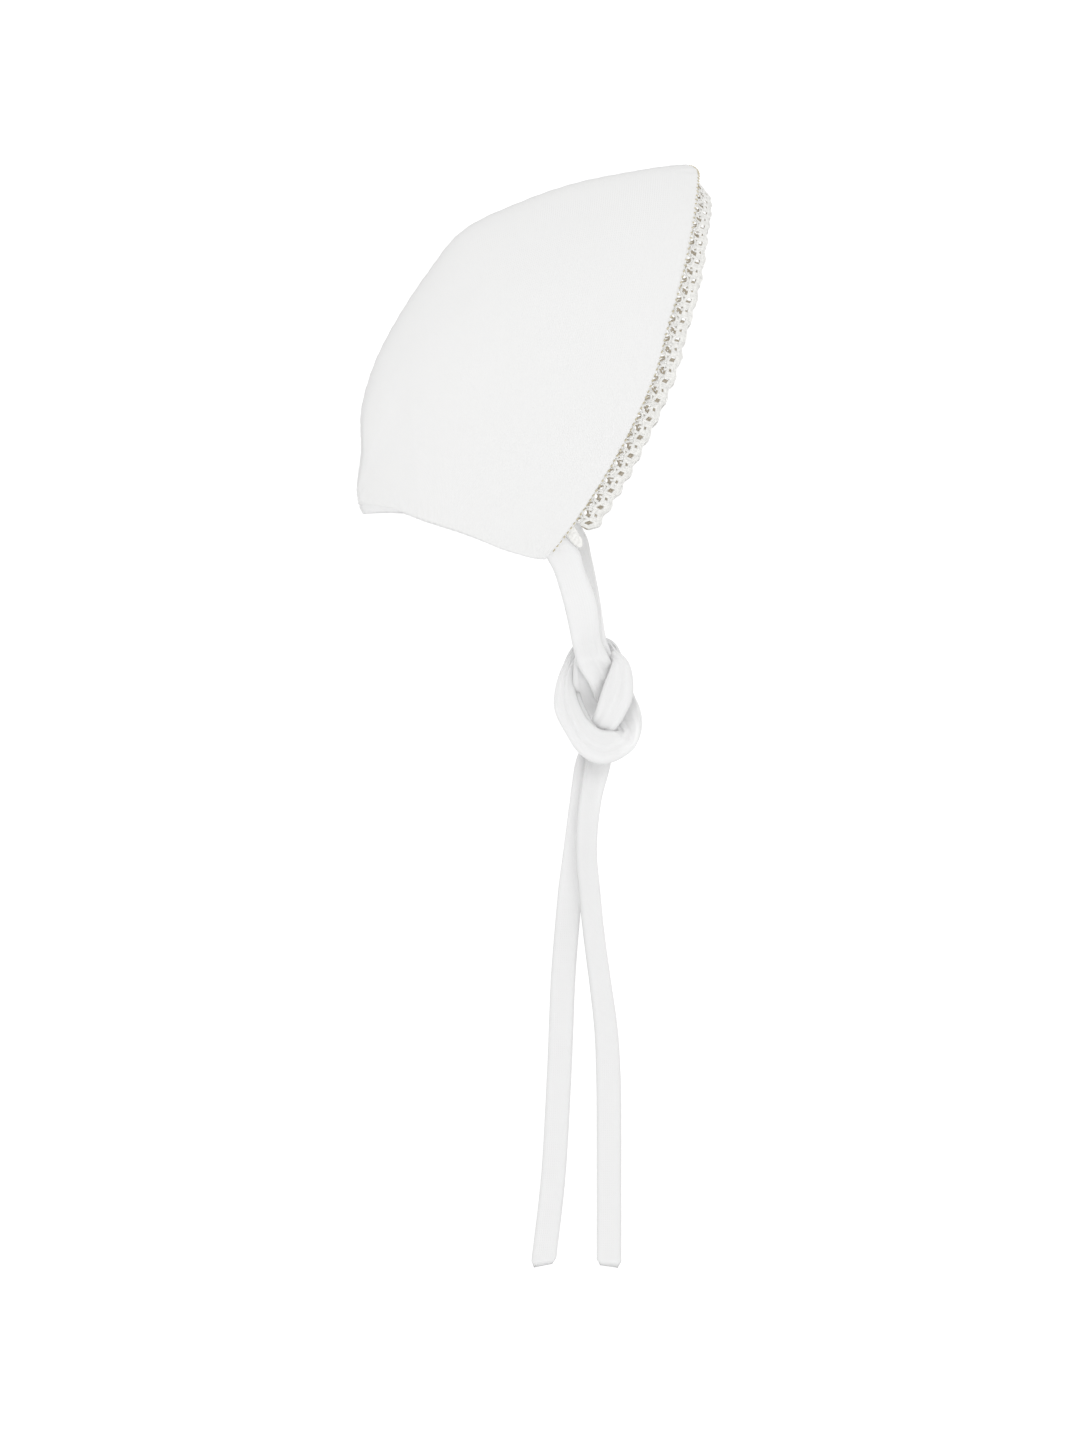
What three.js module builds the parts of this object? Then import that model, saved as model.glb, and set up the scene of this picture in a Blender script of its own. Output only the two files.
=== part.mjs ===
// A baby's nightcap of white cotton jersey, as it keeps its shape on a head: two side panels that meet
// along the centre line, a folded hem round the neck, a narrow cut-through lace round the face, and two
// flat ties, knotted together once under the chin, that hang free below the knot.
// Millimetres. +X is forward, out of the face opening, +Y is the wearer's left and +Z is up.
// The origin is on the inside of the crown, where the cap sits on a head.
import * as THREE from 'three';
import { mergeVertices } from 'three/addons/utils/BufferGeometryUtils.js';

// Cap
const CAP_LENGTH = 136.4;      // back of the nape to the top front corner
const CAP_HEIGHT = 158;        // crown to the front lower corner
const CAP_HALF_WIDTH = 54;     // centre line to the widest place of one side
const FACE_BOW = 13;           // how far the face edge bows forward of a straight line
const CROWN_SHARE = 0.4;       // part of a section's height taken by its round top
const WALL = 1.6;              // jersey, as one wall
const FACE_HEM_WALL = 2.4;     // the folded and stitched face edge
const FACE_HEM_WIDTH = 7;
const SEAM_GAP = 0.3;          // between the two panels along the centre line
const CLEARANCE = 0.5;         // between pieces that are sewn on each other

// Neck hem
const NECK_HEM_WIDTH = 8;
const NECK_HEM_WALL = 1.2;
const NECK_HEM_INSET = 0.4;    // how far it stops above the panels' edge
const NAPE_DROOP = 3.8;        // how far it hangs down at the nape
const NAPE_DROOP_SPREAD = 0.24;   // share of one side's neck line over which the droop fades
const NECK_HEM_START = 0.14;   // share of the neck line left free for a tie, from the front corner
const NECK_HEM_STEPS = 22;

// Lace
const LACE_WIDTH = 8.4;        // fabric edge to the tip of a scallop
const LACE_THICKNESS = 1;
const LACE_PITCH = 8.6;        // one scallop
const LACE_TUCK = 2;           // header under the fabric edge
const LACE_SCALLOP = 0.9;      // depth of a scallop
const LACE_DROOP = 42;         // degrees below the fabric, at the top of the head
const LACE_END = 0.93;         // share of the face edge that the lace follows, from the top

// Ties
const TIE_WIDTH = 12.8;        // where a tie is sewn on
const STRAP_WIDTH = 9.8;       // below the knot
const TIE_THICKNESS = 1.4;
const TIE_STACK_GAP = 1.0;     // between the two ties where they lie on each other
const TIE_SLANT = 0.86;        // sewn end along the face edge, as a share of the width
const TIE_TUCK = 4;            // sewn end under the corner of the panel
const KNOT_FORWARD = 21;       // knot centre in front of the lower corner
const KNOT_DROP = 58;          // knot centre below the lower corner
const KNOT_WIDTH = 34.4;
const KNOT_HEIGHT = 51.2;
const KNOT_DEPTH = 9.5;          // between the middles of the front and the rear strands
const TAIL_LENGTH = 202;       // free ends below the knot
const TAIL_SPREAD = 25.6;      // between the two free ends

// Sections of one side from the face edge back and down to the nape. top is the centre line and edge the
// neck line. X is a share of CAP_LENGTH, Z of CAP_HEIGHT, the widths are shares of CAP_HALF_WIDTH and bow
// of FACE_BOW.
const SECTIONS = [
  { topX: 0.399, topZ: 0.067, edgeX: -0.044, edgeZ: -0.927, width: 0.93, edgeWidth: 0.44, bow: 1.0 },
  { topX: 0.323, topZ: 0.066, edgeX: -0.070, edgeZ: -0.924, width: 0.95, edgeWidth: 0.46, bow: 0.88 },
  { topX: 0.202, topZ: 0.051, edgeX: -0.111, edgeZ: -0.916, width: 0.98, edgeWidth: 0.50, bow: 0.68 },
  { topX: 0.044, topZ: 0.023, edgeX: -0.170, edgeZ: -0.901, width: 1.00, edgeWidth: 0.56, bow: 0.45 },
  { topX: -0.114, topZ: -0.025, edgeX: -0.226, edgeZ: -0.881, width: 1.00, edgeWidth: 0.61, bow: 0.25 },
  { topX: -0.287, topZ: -0.101, edgeX: -0.293, edgeZ: -0.859, width: 0.95, edgeWidth: 0.64, bow: 0.10 },
  { topX: -0.386, topZ: -0.205, edgeX: -0.349, edgeZ: -0.843, width: 0.88, edgeWidth: 0.64, bow: 0.03 },
  { topX: -0.478, topZ: -0.324, edgeX: -0.402, edgeZ: -0.828, width: 0.78, edgeWidth: 0.62, bow: 0 },
  { topX: -0.545, topZ: -0.435, edgeX: -0.449, edgeZ: -0.813, width: 0.66, edgeWidth: 0.57, bow: 0 },
  { topX: -0.584, topZ: -0.552, edgeX: -0.495, edgeZ: -0.800, width: 0.53, edgeWidth: 0.49, bow: 0 },
  { topX: -0.584, topZ: -0.658, edgeX: -0.543, edgeZ: -0.792, width: 0.38, edgeWidth: 0.37, bow: 0 },
  { topX: -0.594, topZ: -0.744, edgeX: -0.578, edgeZ: -0.790, width: 0.22, edgeWidth: 0.22, bow: 0 },
  { topX: -0.592, topZ: -0.785, edgeX: -0.590, edgeZ: -0.790, width: 0, edgeWidth: 0, bow: 0 },
];
const STATIONS_PER_SECTION = 2;
const PANEL_ROWS = 20;

// Soft dents in the cloth. at runs from the face edge to the nape, down from the centre line to the neck,
// depth is a share of WALL, and long and tall are how far the dent spreads in at and down.
const DENTS = [
  { at: 0.25, down: 0.20, depth: 0.7, long: 0.05, tall: 0.05 },
  { at: 0.31, down: 0.30, depth: 0.8, long: 0.05, tall: 0.06 },
  { at: 0.42, down: 0.33, depth: 0.7, long: 0.04, tall: 0.05 },
  { at: 0.45, down: 0.46, depth: 0.6, long: 0.05, tall: 0.06 },
  { at: 0.61, down: 0.50, depth: 0.8, long: 0.05, tall: 0.10 },
  { at: 0.06, down: 0.74, depth: 0.6, long: 0.05, tall: 0.08 },
];

// Levels across the lace as shares of its width, from the fabric edge out, the columns of one scallop as
// shares of its pitch, and where the two holes of a scallop lie in that grid.
const LACE_LEVELS = [0.06, 0.40, 0.58, 0.80, 1.0];
const LACE_COLUMNS = [0, 0.24, 0.5, 0.76];
const LACE_HOLES = [
  { level: 1, columns: [1, 2] },
  { level: 3, columns: [3, 0] },
];

// Each tie between its sewn end and the knot. down is the share of that way, right and left are how far
// forward of the straight way each tie swings, as shares of TIE_WIDTH.
const DROPS = [
  { down: 0.30, right: 0.05, left: 0.36 },
  { down: 0.65, right: 0.15, left: 0.20 },
];

// The doubled band of both ties on its way round the knot. a is the edge next to the hole of the knot and
// b the outer edge. X is a share of KNOT_WIDTH, Z of KNOT_HEIGHT and depth of KNOT_DEPTH, minus towards
// the wearer's right. part is how far the right tie lies beside the left one, as a share of STRAP_WIDTH.
const KNOT = [
  { aX: -0.297, aZ: 0.445, bX: 0.030, bZ: 0.500, aDepth: -0.50, bDepth: -0.50, part: -0.13 },
  { aX: -0.215, aZ: 0.305, bX: 0.115, bZ: 0.375, aDepth: -0.52, bDepth: -0.46, part: -0.06 },
  { aX: -0.110, aZ: 0.148, bX: 0.235, bZ: 0.235, aDepth: -0.20, bDepth: 0.16, part: 0 },
  { aX: -0.006, aZ: -0.008, bX: 0.390, bZ: 0.102, aDepth: 0.25, bDepth: 0.50, part: 0 },
  { aX: 0.099, aZ: -0.148, bX: 0.483, bZ: -0.039, aDepth: 0.50, bDepth: 0.50, part: 0 },
  { aX: 0.230, aZ: -0.225, bX: 0.505, bZ: -0.190, aDepth: 0.30, bDepth: 0.30, part: 0 },
  { aX: 0.240, aZ: -0.275, bX: 0.430, bZ: -0.345, aDepth: -0.05, bDepth: 0.00, part: 0 },
  { aX: 0.165, aZ: -0.245, bX: 0.245, bZ: -0.440, aDepth: -0.42, bDepth: -0.42, part: 0 },
  { aX: 0.040, aZ: -0.205, bX: 0.029, bZ: -0.477, aDepth: -0.52, bDepth: -0.52, part: 0 },
  { aX: -0.087, aZ: -0.125, bX: -0.180, bZ: -0.398, aDepth: -0.50, bDepth: -0.50, part: 0 },
  { aX: -0.180, aZ: -0.008, bX: -0.355, bZ: -0.227, aDepth: -0.35, bDepth: -0.30, part: 0 },
  { aX: -0.238, aZ: 0.117, bX: -0.483, bZ: -0.039, aDepth: -0.10, bDepth: -0.05, part: 0 },
  { aX: -0.262, aZ: 0.242, bX: -0.483, bZ: 0.148, aDepth: 0.20, bDepth: 0.15, part: 0 },
  { aX: -0.227, aZ: 0.336, bX: -0.413, bZ: 0.359, aDepth: 0.45, bDepth: 0.35, part: 0 },
  { aX: -0.110, aZ: 0.336, bX: -0.238, bZ: 0.508, aDepth: 0.50, bDepth: 0.50, part: 0 },
  { aX: 0.030, aZ: 0.300, bX: -0.052, bZ: 0.531, aDepth: 0.54, bDepth: 0.52, part: 0 },
  { aX: 0.178, aZ: 0.305, bX: 0.170, bZ: 0.520, aDepth: 0.45, bDepth: 0.45, part: 0 },
  { aX: 0.265, aZ: 0.305, bX: 0.345, bZ: 0.410, aDepth: 0.05, bDepth: 0.12, part: 0 },
  { aX: 0.240, aZ: 0.268, bX: 0.430, bZ: 0.281, aDepth: -0.37, bDepth: -0.20, part: 0 },
  { aX: 0.145, aZ: 0.200, bX: 0.445, bZ: 0.156, aDepth: -0.52, bDepth: -0.42, part: 0 },
  { aX: 0.052, aZ: 0.102, bX: 0.390, bZ: 0.023, aDepth: -0.50, bDepth: -0.50, part: 0 },
  { aX: -0.017, aZ: -0.039, bX: 0.285, bZ: -0.133, aDepth: -0.40, bDepth: -0.35, part: 0 },
  { aX: -0.080, aZ: -0.164, bX: 0.155, bZ: -0.255, aDepth: 0.10, bDepth: 0.10, part: 0 },
  { aX: -0.134, aZ: -0.305, bX: 0.120, bZ: -0.359, aDepth: 0.52, bDepth: 0.52, part: 0.10 },
  { aX: -0.192, aZ: -0.445, bX: 0.099, bZ: -0.461, aDepth: 0.45, bDepth: 0.45, part: 0.20 },
];
const STEPS_PER_KNOT_ROW = 3;

// The free ends below the knot. down is a share of TAIL_LENGTH, the middles right and left are shares of
// TAIL_SPREAD in front of the knot centre, apart is the depth between them as a share of TIE_THICKNESS,
// and twist turns the right tie about its length, in degrees.
const TAILS = [
  { down: 0.075, right: -0.117, left: -0.305, apart: 1.3, twist: 0 },
  { down: 0.174, right: -0.164, left: -0.430, apart: 1.3, twist: 0 },
  { down: 0.253, right: -0.117, left: -0.492, apart: 1.3, twist: 0 },
  { down: 0.333, right: -0.055, left: -0.508, apart: 1.3, twist: 6 },
  { down: 0.432, right: 0.039, left: -0.539, apart: 1.3, twist: 22 },
  { down: 0.531, right: 0.133, left: -0.570, apart: 1.0, twist: 18 },
  { down: 0.630, right: 0.172, left: -0.602, apart: 0.8, twist: 4 },
  { down: 0.828, right: 0.180, left: -0.695, apart: 0.4, twist: 0 },
  { down: 1.000, right: 0.180, left: -0.812, apart: 0, twist: 0 },
];

const RIGHT = -1;
const LEFT = 1;

const cloth = new THREE.MeshStandardMaterial({ color: 0xf4f4f3, roughness: 0.9, metalness: 0 });
const hemCloth = new THREE.MeshStandardMaterial({ color: 0xefefee, roughness: 0.9, metalness: 0 });
const laceThread = new THREE.MeshStandardMaterial({ color: 0xeeebe0, roughness: 0.85, metalness: 0 });
const tieCloth = new THREE.MeshStandardMaterial({ color: 0xf2f2f1, roughness: 0.9, metalness: 0 });

const vector = (x, y, z) => new THREE.Vector3(x, y, z);
const smooth = (points) => new THREE.CatmullRomCurve3(points, false, 'centripetal');
const along = (point, direction, distance) => point.clone().addScaledVector(direction, distance);

// One closed body from two grids of points, front and back of a sheet. A cell that isn't solid is a hole
// with walls of its own.
function sheetGeometry(front, back, isSolid = () => true) {
  const rows = front.length - 1;
  const columns = front[0].length - 1;
  const corners = [];
  const triangle = (a, b, c) => {
    if (a.distanceTo(b) > 1e-6 && b.distanceTo(c) > 1e-6 && c.distanceTo(a) > 1e-6) corners.push(a, b, c);
  };
  const quad = (a, b, c, d) => {
    triangle(a, b, c);
    triangle(a, c, d);
  };
  const solid = (i, j) => i >= 0 && j >= 0 && i < rows && j < columns && isSolid(i, j);
  const wall = (i, j, k, l) => quad(front[i][j], front[k][l], back[k][l], back[i][j]);
  for (let i = 0; i < rows; i++) {
    for (let j = 0; j < columns; j++) {
      if (!solid(i, j)) continue;
      quad(front[i][j], front[i][j + 1], front[i + 1][j + 1], front[i + 1][j]);
      quad(back[i][j], back[i + 1][j], back[i + 1][j + 1], back[i][j + 1]);
      if (!solid(i - 1, j)) wall(i, j + 1, i, j);
      if (!solid(i + 1, j)) wall(i + 1, j, i + 1, j + 1);
      if (!solid(i, j - 1)) wall(i, j, i + 1, j);
      if (!solid(i, j + 1)) wall(i + 1, j + 1, i, j + 1);
    }
  }
  return closedGeometry(corners);
}

// Merges the corners and turns the faces outwards.
function closedGeometry(corners) {
  let sixVolumes = 0;
  for (let k = 0; k < corners.length; k += 3) {
    sixVolumes += corners[k].dot(corners[k + 1].clone().cross(corners[k + 2]));
  }
  if (sixVolumes < 0) {
    for (let k = 0; k < corners.length; k += 3) {
      [corners[k + 1], corners[k + 2]] = [corners[k + 2], corners[k + 1]];
    }
  }
  const merged = mergeVertices(new THREE.BufferGeometry().setFromPoints(corners), 1e-4);
  merged.computeVertexNormals();
  return merged;
}

// Surface of the cap
const crownLine = smooth(SECTIONS.map((row) => vector(row.topX * CAP_LENGTH, 0, row.topZ * CAP_HEIGHT)));
const neckLine = smooth(SECTIONS.map((row) => vector(row.edgeX * CAP_LENGTH, 0, row.edgeZ * CAP_HEIGHT)));
const widthLine = smooth(SECTIONS.map((row) => vector(
  row.width * CAP_HALF_WIDTH, row.edgeWidth * CAP_HALF_WIDTH, row.bow * FACE_BOW,
)));

function plainCapPoint(at, down) {
  const top = crownLine.getPoint(at);
  const edge = neckLine.getPoint(at);
  const { x: width, y: edgeWidth, z: bow } = widthLine.getPoint(at);
  let share;
  let side;
  if (down < 0.5) {
    share = CROWN_SHARE * (1 - Math.cos(down * Math.PI));
    side = width * Math.sin(down * Math.PI);
  } else {
    const fall = (down - 0.5) * 2;
    share = CROWN_SHARE + (1 - CROWN_SHARE) * fall;
    side = width - (width - edgeWidth) * fall * fall;
  }
  const point = top.lerp(edge, share);
  point.x += bow * 4 * share * (1 - share);
  point.y = side;
  return point;
}

// Outward normal of the left side, by small steps on the surface
function capNormal(at, down) {
  const step = 0.004;
  const low = Math.min(Math.max(at, step), 0.96);
  const mid = Math.min(Math.max(down, step), 1 - step);
  const back = plainCapPoint(low + step, mid).sub(plainCapPoint(low - step, mid));
  const fall = plainCapPoint(low, mid + step).sub(plainCapPoint(low, mid - step));
  const normal = fall.cross(back).normalize();
  if (down === 0 || at === 1) normal.setY(0).normalize();
  return normal;
}

function dentDepth(at, down) {
  let depth = 0;
  for (const dent of DENTS) {
    const off = ((at - dent.at) / dent.long) ** 2 + ((down - dent.down) / dent.tall) ** 2;
    depth += dent.depth * WALL * Math.exp(-off);
  }
  return depth;
}

function faceHemShare() {
  return FACE_HEM_WIDTH / crownLine.getLength();
}

function wallAt(at) {
  const hem = THREE.MathUtils.smoothstep(at, faceHemShare(), 2 * faceHemShare());
  return THREE.MathUtils.lerp(FACE_HEM_WALL, WALL, hem);
}

// A point of the cap, so far in from its outer face, on one side
function capPoint(side, at, down, depth) {
  const normal = capNormal(at, down);
  const point = along(plainCapPoint(at, down), normal, -dentDepth(at, down) - depth);
  if (down === 0 || at === 1) point.y = SEAM_GAP / 2;
  point.y *= side;
  return point;
}

function sidePanel(side) {
  const outer = [];
  const inner = [];
  const stations = (SECTIONS.length - 1) * STATIONS_PER_SECTION;
  for (let i = 0; i <= stations; i++) {
    if (i === stations - 1) continue;      // one plain fan closes the nape
    const at = i / stations;
    outer.push([]);
    inner.push([]);
    for (let j = 0; j <= PANEL_ROWS; j++) {
      const down = at === 1 ? 0.5 : j / PANEL_ROWS;
      outer.at(-1).push(capPoint(side, at, down, 0));
      inner.at(-1).push(capPoint(side, at, down, wallAt(at)));
    }
  }
  return sheetGeometry(outer, inner);
}

// The hem follows the neck line inside the panels, from one front corner past the nape to the other. At the
// nape, where the sections run together, it hangs straight down.
function neckHem() {
  const neckPoint = (way) => {
    const point = plainCapPoint(1 - Math.abs(way) * (1 - NECK_HEM_START), 1);
    point.y *= Math.sign(way);
    return point;
  };
  const fallAt = (way) => {
    const at = Math.min(1 - Math.abs(way) * (1 - NECK_HEM_START), 0.98);
    const fall = plainCapPoint(at, 1).sub(plainCapPoint(at, 0.96)).normalize();
    fall.y *= Math.sign(way);
    return vector(0, 0, -1).lerp(fall, THREE.MathUtils.smoothstep(Math.abs(way), 0, 0.25));
  };
  const outer = [];
  const inner = [];
  for (let i = -NECK_HEM_STEPS; i <= NECK_HEM_STEPS; i++) {
    const way = i / NECK_HEM_STEPS;
    const tangent = neckPoint(way + 0.01).sub(neckPoint(way - 0.01)).normalize();
    const down = fallAt(way);
    down.addScaledVector(tangent, -down.dot(tangent)).normalize();
    const out = tangent.clone().cross(down).normalize();
    const base = along(neckPoint(way), out, -WALL - CLEARANCE);
    const droop = NAPE_DROOP * Math.exp(-((way / NAPE_DROOP_SPREAD) ** 2)) - NECK_HEM_INSET;
    const levels = [-NECK_HEM_WIDTH, -NECK_HEM_WIDTH / 2, droop];
    outer.push(levels.map((level) => along(base, down, level)));
    inner.push(levels.map((level) => along(along(base, down, level), out, -NECK_HEM_WALL)));
  }
  return sheetGeometry(outer, inner);
}

// Frame of the face edge: a point under the folded edge, so deep inside, and the forward direction
function faceEdge(side, down, depth) {
  const point = capPoint(side, 0, down, FACE_HEM_WALL + CLEARANCE + depth);
  const normal = capNormal(0, down);
  const behind = plainCapPoint(0.01, down);
  const forward = plainCapPoint(0, down).sub(behind);
  const fall = plainCapPoint(0, Math.min(down + 0.01, 1)).sub(plainCapPoint(0, Math.max(down - 0.01, 0)));
  fall.normalize();
  forward.addScaledVector(fall, -forward.dot(fall)).normalize();
  normal.y *= side;
  forward.y *= side;
  return { point, normal, forward };
}

function laceEdging() {
  const lengthSteps = 200;
  const edgePoints = [];
  for (let k = 0; k <= lengthSteps; k++) edgePoints.push(plainCapPoint(0, (LACE_END * k) / lengthSteps));
  const distances = [0];
  for (let k = 1; k <= lengthSteps; k++) {
    distances.push(distances[k - 1] + edgePoints[k].distanceTo(edgePoints[k - 1]));
  }
  const sideLength = distances[lengthSteps];
  const downAt = (distance) => {
    const k = Math.max(1, distances.findIndex((value) => value >= distance - 1e-9));
    const part = (distance - distances[k - 1]) / (distances[k] - distances[k - 1]);
    return (LACE_END * (k - 1 + part)) / lengthSteps;
  };
  const repeats = Math.round((2 * sideLength) / LACE_PITCH);
  const pitch = (2 * sideLength) / repeats;
  const front = [];
  const back = [];
  const columns = repeats * LACE_COLUMNS.length;
  for (let i = 0; i <= columns; i++) {
    const column = i % LACE_COLUMNS.length;
    const phase = LACE_COLUMNS[column];
    const distance = (Math.floor(i / LACE_COLUMNS.length) + phase) * pitch - sideLength;
    const side = distance < 0 ? RIGHT : LEFT;
    const down = downAt(Math.min(Math.abs(distance), sideLength));
    const { point, normal, forward } = faceEdge(side, down, LACE_THICKNESS / 2);
    if (Math.abs(distance) < 1e-6) point.y = 0;
    const droop = THREE.MathUtils.degToRad(LACE_DROOP) * Math.exp(-((down / 0.3) ** 2));
    const outward = forward.clone().multiplyScalar(Math.cos(droop)).addScaledVector(normal, -Math.sin(droop));
    const rise = normal.clone().multiplyScalar(Math.cos(droop)).addScaledVector(forward, Math.sin(droop));
    const endRound = Math.min(1, 0.72 + (0.28 * (sideLength - Math.abs(distance))) / (LACE_PITCH / 2));
    const scallop = -LACE_SCALLOP * 0.5 * (1 + Math.cos(phase * 2 * Math.PI));
    const levels = LACE_LEVELS.map((level) => level * LACE_WIDTH * endRound + scallop * level * level);
    const half = LACE_THICKNESS / 2;
    const tucked = along(point, forward, -LACE_TUCK);
    const face = (lift) => [
      along(tucked, normal, lift),
      ...levels.map((level) => along(along(point, outward, level), rise, lift)),
    ];
    front.push(face(half));
    back.push(face(-half));
  }
  const isSolid = (i, j) => {
    if (i < 1 || i > columns - 2) return true;
    return !LACE_HOLES.some((hole) => hole.level === j && hole.columns.includes(i % LACE_COLUMNS.length));
  };
  return sheetGeometry(front, back, isSolid);
}

// Both edges of one tie in order, from its sewn end to its free end
function tieRungs(side) {
  const corner = plainCapPoint(0, 1);
  const centre = vector(corner.x + KNOT_FORWARD, 0, corner.z - KNOT_DROP);
  const seatDepth = TIE_THICKNESS / 2;
  const seatA = faceEdge(side, 1, seatDepth).point;
  const seatShare = (TIE_WIDTH * TIE_SLANT) / (2 * (1 - CROWN_SHARE) * CAP_HEIGHT);
  const seatB = faceEdge(side, 1 - seatShare, seatDepth).point;
  const lift = (TIE_THICKNESS + TIE_STACK_GAP) / 2;
  const knot = KNOT.map((row) => {
    const a = vector(row.aX * KNOT_WIDTH, row.aDepth * KNOT_DEPTH, row.aZ * KNOT_HEIGHT).add(centre);
    const b = vector(row.bX * KNOT_WIDTH, row.bDepth * KNOT_DEPTH, row.bZ * KNOT_HEIGHT).add(centre);
    const shift = b.clone().sub(a).normalize().multiplyScalar(-side * row.part * STRAP_WIDTH);
    return { a: a.add(shift), b: b.add(shift), lift: lift * side };
  });
  const sideways = vector(0, 1, 0);
  const entry = { a: along(knot[0].a, sideways, lift * side), b: along(knot[0].b, sideways, lift * side) };
  const toKnot = entry.a.clone().sub(seatA);
  const normal = capNormal(0, 1);
  normal.y *= side;
  toKnot.addScaledVector(normal, -toKnot.dot(normal)).normalize();
  const rungs = [
    { a: along(seatA, toKnot, -TIE_TUCK), b: along(seatB, toKnot, -TIE_TUCK), lift: 0 },
    { a: seatA, b: seatB, lift: 0 },
  ];
  for (const row of DROPS) {
    const way = row.down;
    const bulge = vector((side === RIGHT ? row.right : row.left) * TIE_WIDTH, 0, 0);
    const a = seatA.clone().lerp(entry.a, way).add(bulge);
    const b = seatB.clone().lerp(entry.b, way).add(bulge);
    const inward = 1 - (1 - way) ** 2;
    a.y = THREE.MathUtils.lerp(seatA.y, entry.a.y, inward);
    b.y = THREE.MathUtils.lerp(seatB.y, entry.b.y, inward);
    rungs.push({ a, b, lift: 0 });
  }
  rungs.push(...knot);
  const bottom = (knot.at(-1).a.z + knot.at(-1).b.z) / 2;
  for (const row of TAILS) {
    const middle = centre.x + (side === RIGHT ? row.right : row.left) * TAIL_SPREAD;
    const depth = side * row.apart * TIE_THICKNESS / 2;
    const turn = THREE.MathUtils.degToRad(side === RIGHT ? row.twist : 0);
    const half = vector(Math.cos(turn), Math.sin(turn), 0).multiplyScalar(STRAP_WIDTH / 2);
    const point = vector(middle, depth, bottom - row.down * TAIL_LENGTH);
    rungs.push({ a: point.clone().sub(half), b: point.clone().add(half), lift: 0 });
  }
  return rungs;
}

function tie(side) {
  const rungs = tieRungs(side);
  const edgeA = smooth(rungs.map((rung) => rung.a));
  const edgeB = smooth(rungs.map((rung) => rung.b));
  const liftLine = smooth(rungs.map((rung, k) => vector(k, rung.lift, 0)));
  const steps = (rungs.length - 1) * STEPS_PER_KNOT_ROW;
  const front = [];
  const back = [];
  const middle = (t) => edgeA.getPoint(t).add(edgeB.getPoint(t)).multiplyScalar(0.5);
  for (let i = 0; i <= steps; i++) {
    const t = i / steps;
    const a = edgeA.getPoint(t);
    const b = edgeB.getPoint(t);
    const run = middle(Math.min(1, t + 0.2 / steps)).sub(middle(Math.max(0, t - 0.2 / steps))).normalize();
    const face = b.clone().sub(a).cross(run).normalize();
    const raised = liftLine.getPoint(t).y;
    front.push([a, b].map((point) => along(point, face, raised + TIE_THICKNESS / 2)));
    back.push([a, b].map((point) => along(point, face, raised - TIE_THICKNESS / 2)));
  }
  return sheetGeometry(front, back);
}

function piece(name, geometry, material) {
  const mesh = new THREE.Mesh(geometry, material);
  mesh.name = name;
  return mesh;
}

const nightcap = new THREE.Group();
nightcap.add(
  piece('side_panel_right', sidePanel(RIGHT), cloth),
  piece('side_panel_left', sidePanel(LEFT), cloth),
  piece('neck_hem', neckHem(), hemCloth),
  piece('lace_edging', laceEdging(), laceThread),
  piece('tie_right', tie(RIGHT), tieCloth),
  piece('tie_left', tie(LEFT), tieCloth),
);

export default nightcap;
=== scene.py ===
import math

import bmesh
import bpy
import numpy as np
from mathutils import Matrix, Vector


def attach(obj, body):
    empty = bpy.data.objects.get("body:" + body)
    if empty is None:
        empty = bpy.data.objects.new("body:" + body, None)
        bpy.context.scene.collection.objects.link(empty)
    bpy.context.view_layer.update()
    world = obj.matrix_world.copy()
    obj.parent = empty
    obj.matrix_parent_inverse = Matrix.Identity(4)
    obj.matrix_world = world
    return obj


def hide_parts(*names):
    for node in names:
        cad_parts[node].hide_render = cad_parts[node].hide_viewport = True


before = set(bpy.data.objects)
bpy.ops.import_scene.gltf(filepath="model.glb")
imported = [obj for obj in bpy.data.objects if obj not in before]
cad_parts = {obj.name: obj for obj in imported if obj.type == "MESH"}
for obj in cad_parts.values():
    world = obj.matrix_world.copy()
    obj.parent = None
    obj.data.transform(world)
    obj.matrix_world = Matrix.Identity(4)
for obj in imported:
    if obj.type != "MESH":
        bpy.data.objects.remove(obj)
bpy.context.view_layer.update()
scene = bpy.context.scene
MM = 0.001

# Studio: the nightcap is seen exactly from its side, filled out as on a head. A long lens from far off
# keeps the near and the far half in line, and a pale floor sweeps up into a white wall.
PHOTO_HEIGHT = 1440
MM_PER_PIXEL = 0.40
IMAGE_CENTRE = Vector((-9.6, 0, -211.2)) * MM
LENS = 400
SENSOR = 36
FIELD = PHOTO_HEIGHT * MM_PER_PIXEL * MM

camera = bpy.data.objects.new("camera", bpy.data.cameras.new("camera"))
camera.data.lens = LENS
camera.data.sensor_width = SENSOR
camera.data.clip_end = 60
camera.location = IMAGE_CENTRE + Vector((0, -FIELD * LENS / SENSOR, 0))
camera.rotation_euler = (math.radians(90), 0, 0)
scene.collection.objects.link(camera)
scene.camera = camera
scene.view_settings.view_transform = "Standard"

FLOOR_BELOW = 0.62
FLOOR_REACH = 7.0
WALL_BEHIND = 2.4
SWEEP_RADIUS = 1.0
sweep = [(-FLOOR_REACH, -FLOOR_BELOW)]
for k in range(13):
    angle = math.pi / 2 * k / 12
    sweep.append((
        WALL_BEHIND - SWEEP_RADIUS + SWEEP_RADIUS * math.sin(angle),
        -FLOOR_BELOW + SWEEP_RADIUS * (1 - math.cos(angle)),
    ))
sweep.append((WALL_BEHIND, FLOOR_REACH))
stage_mesh = bpy.data.meshes.new("studio_sweep")
stage_mesh.from_pydata(
    [(side * FLOOR_REACH, y, z) for y, z in sweep for side in (-1, 1)],
    [],
    [(2 * k, 2 * k + 1, 2 * k + 3, 2 * k + 2) for k in range(len(sweep) - 1)],
)
stage_mesh.shade_smooth()
studio = bpy.data.objects.new("studio_sweep", stage_mesh)
scene.collection.objects.link(studio)
paper = bpy.data.materials.new("studio_paper")
paper.use_nodes = True
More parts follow.
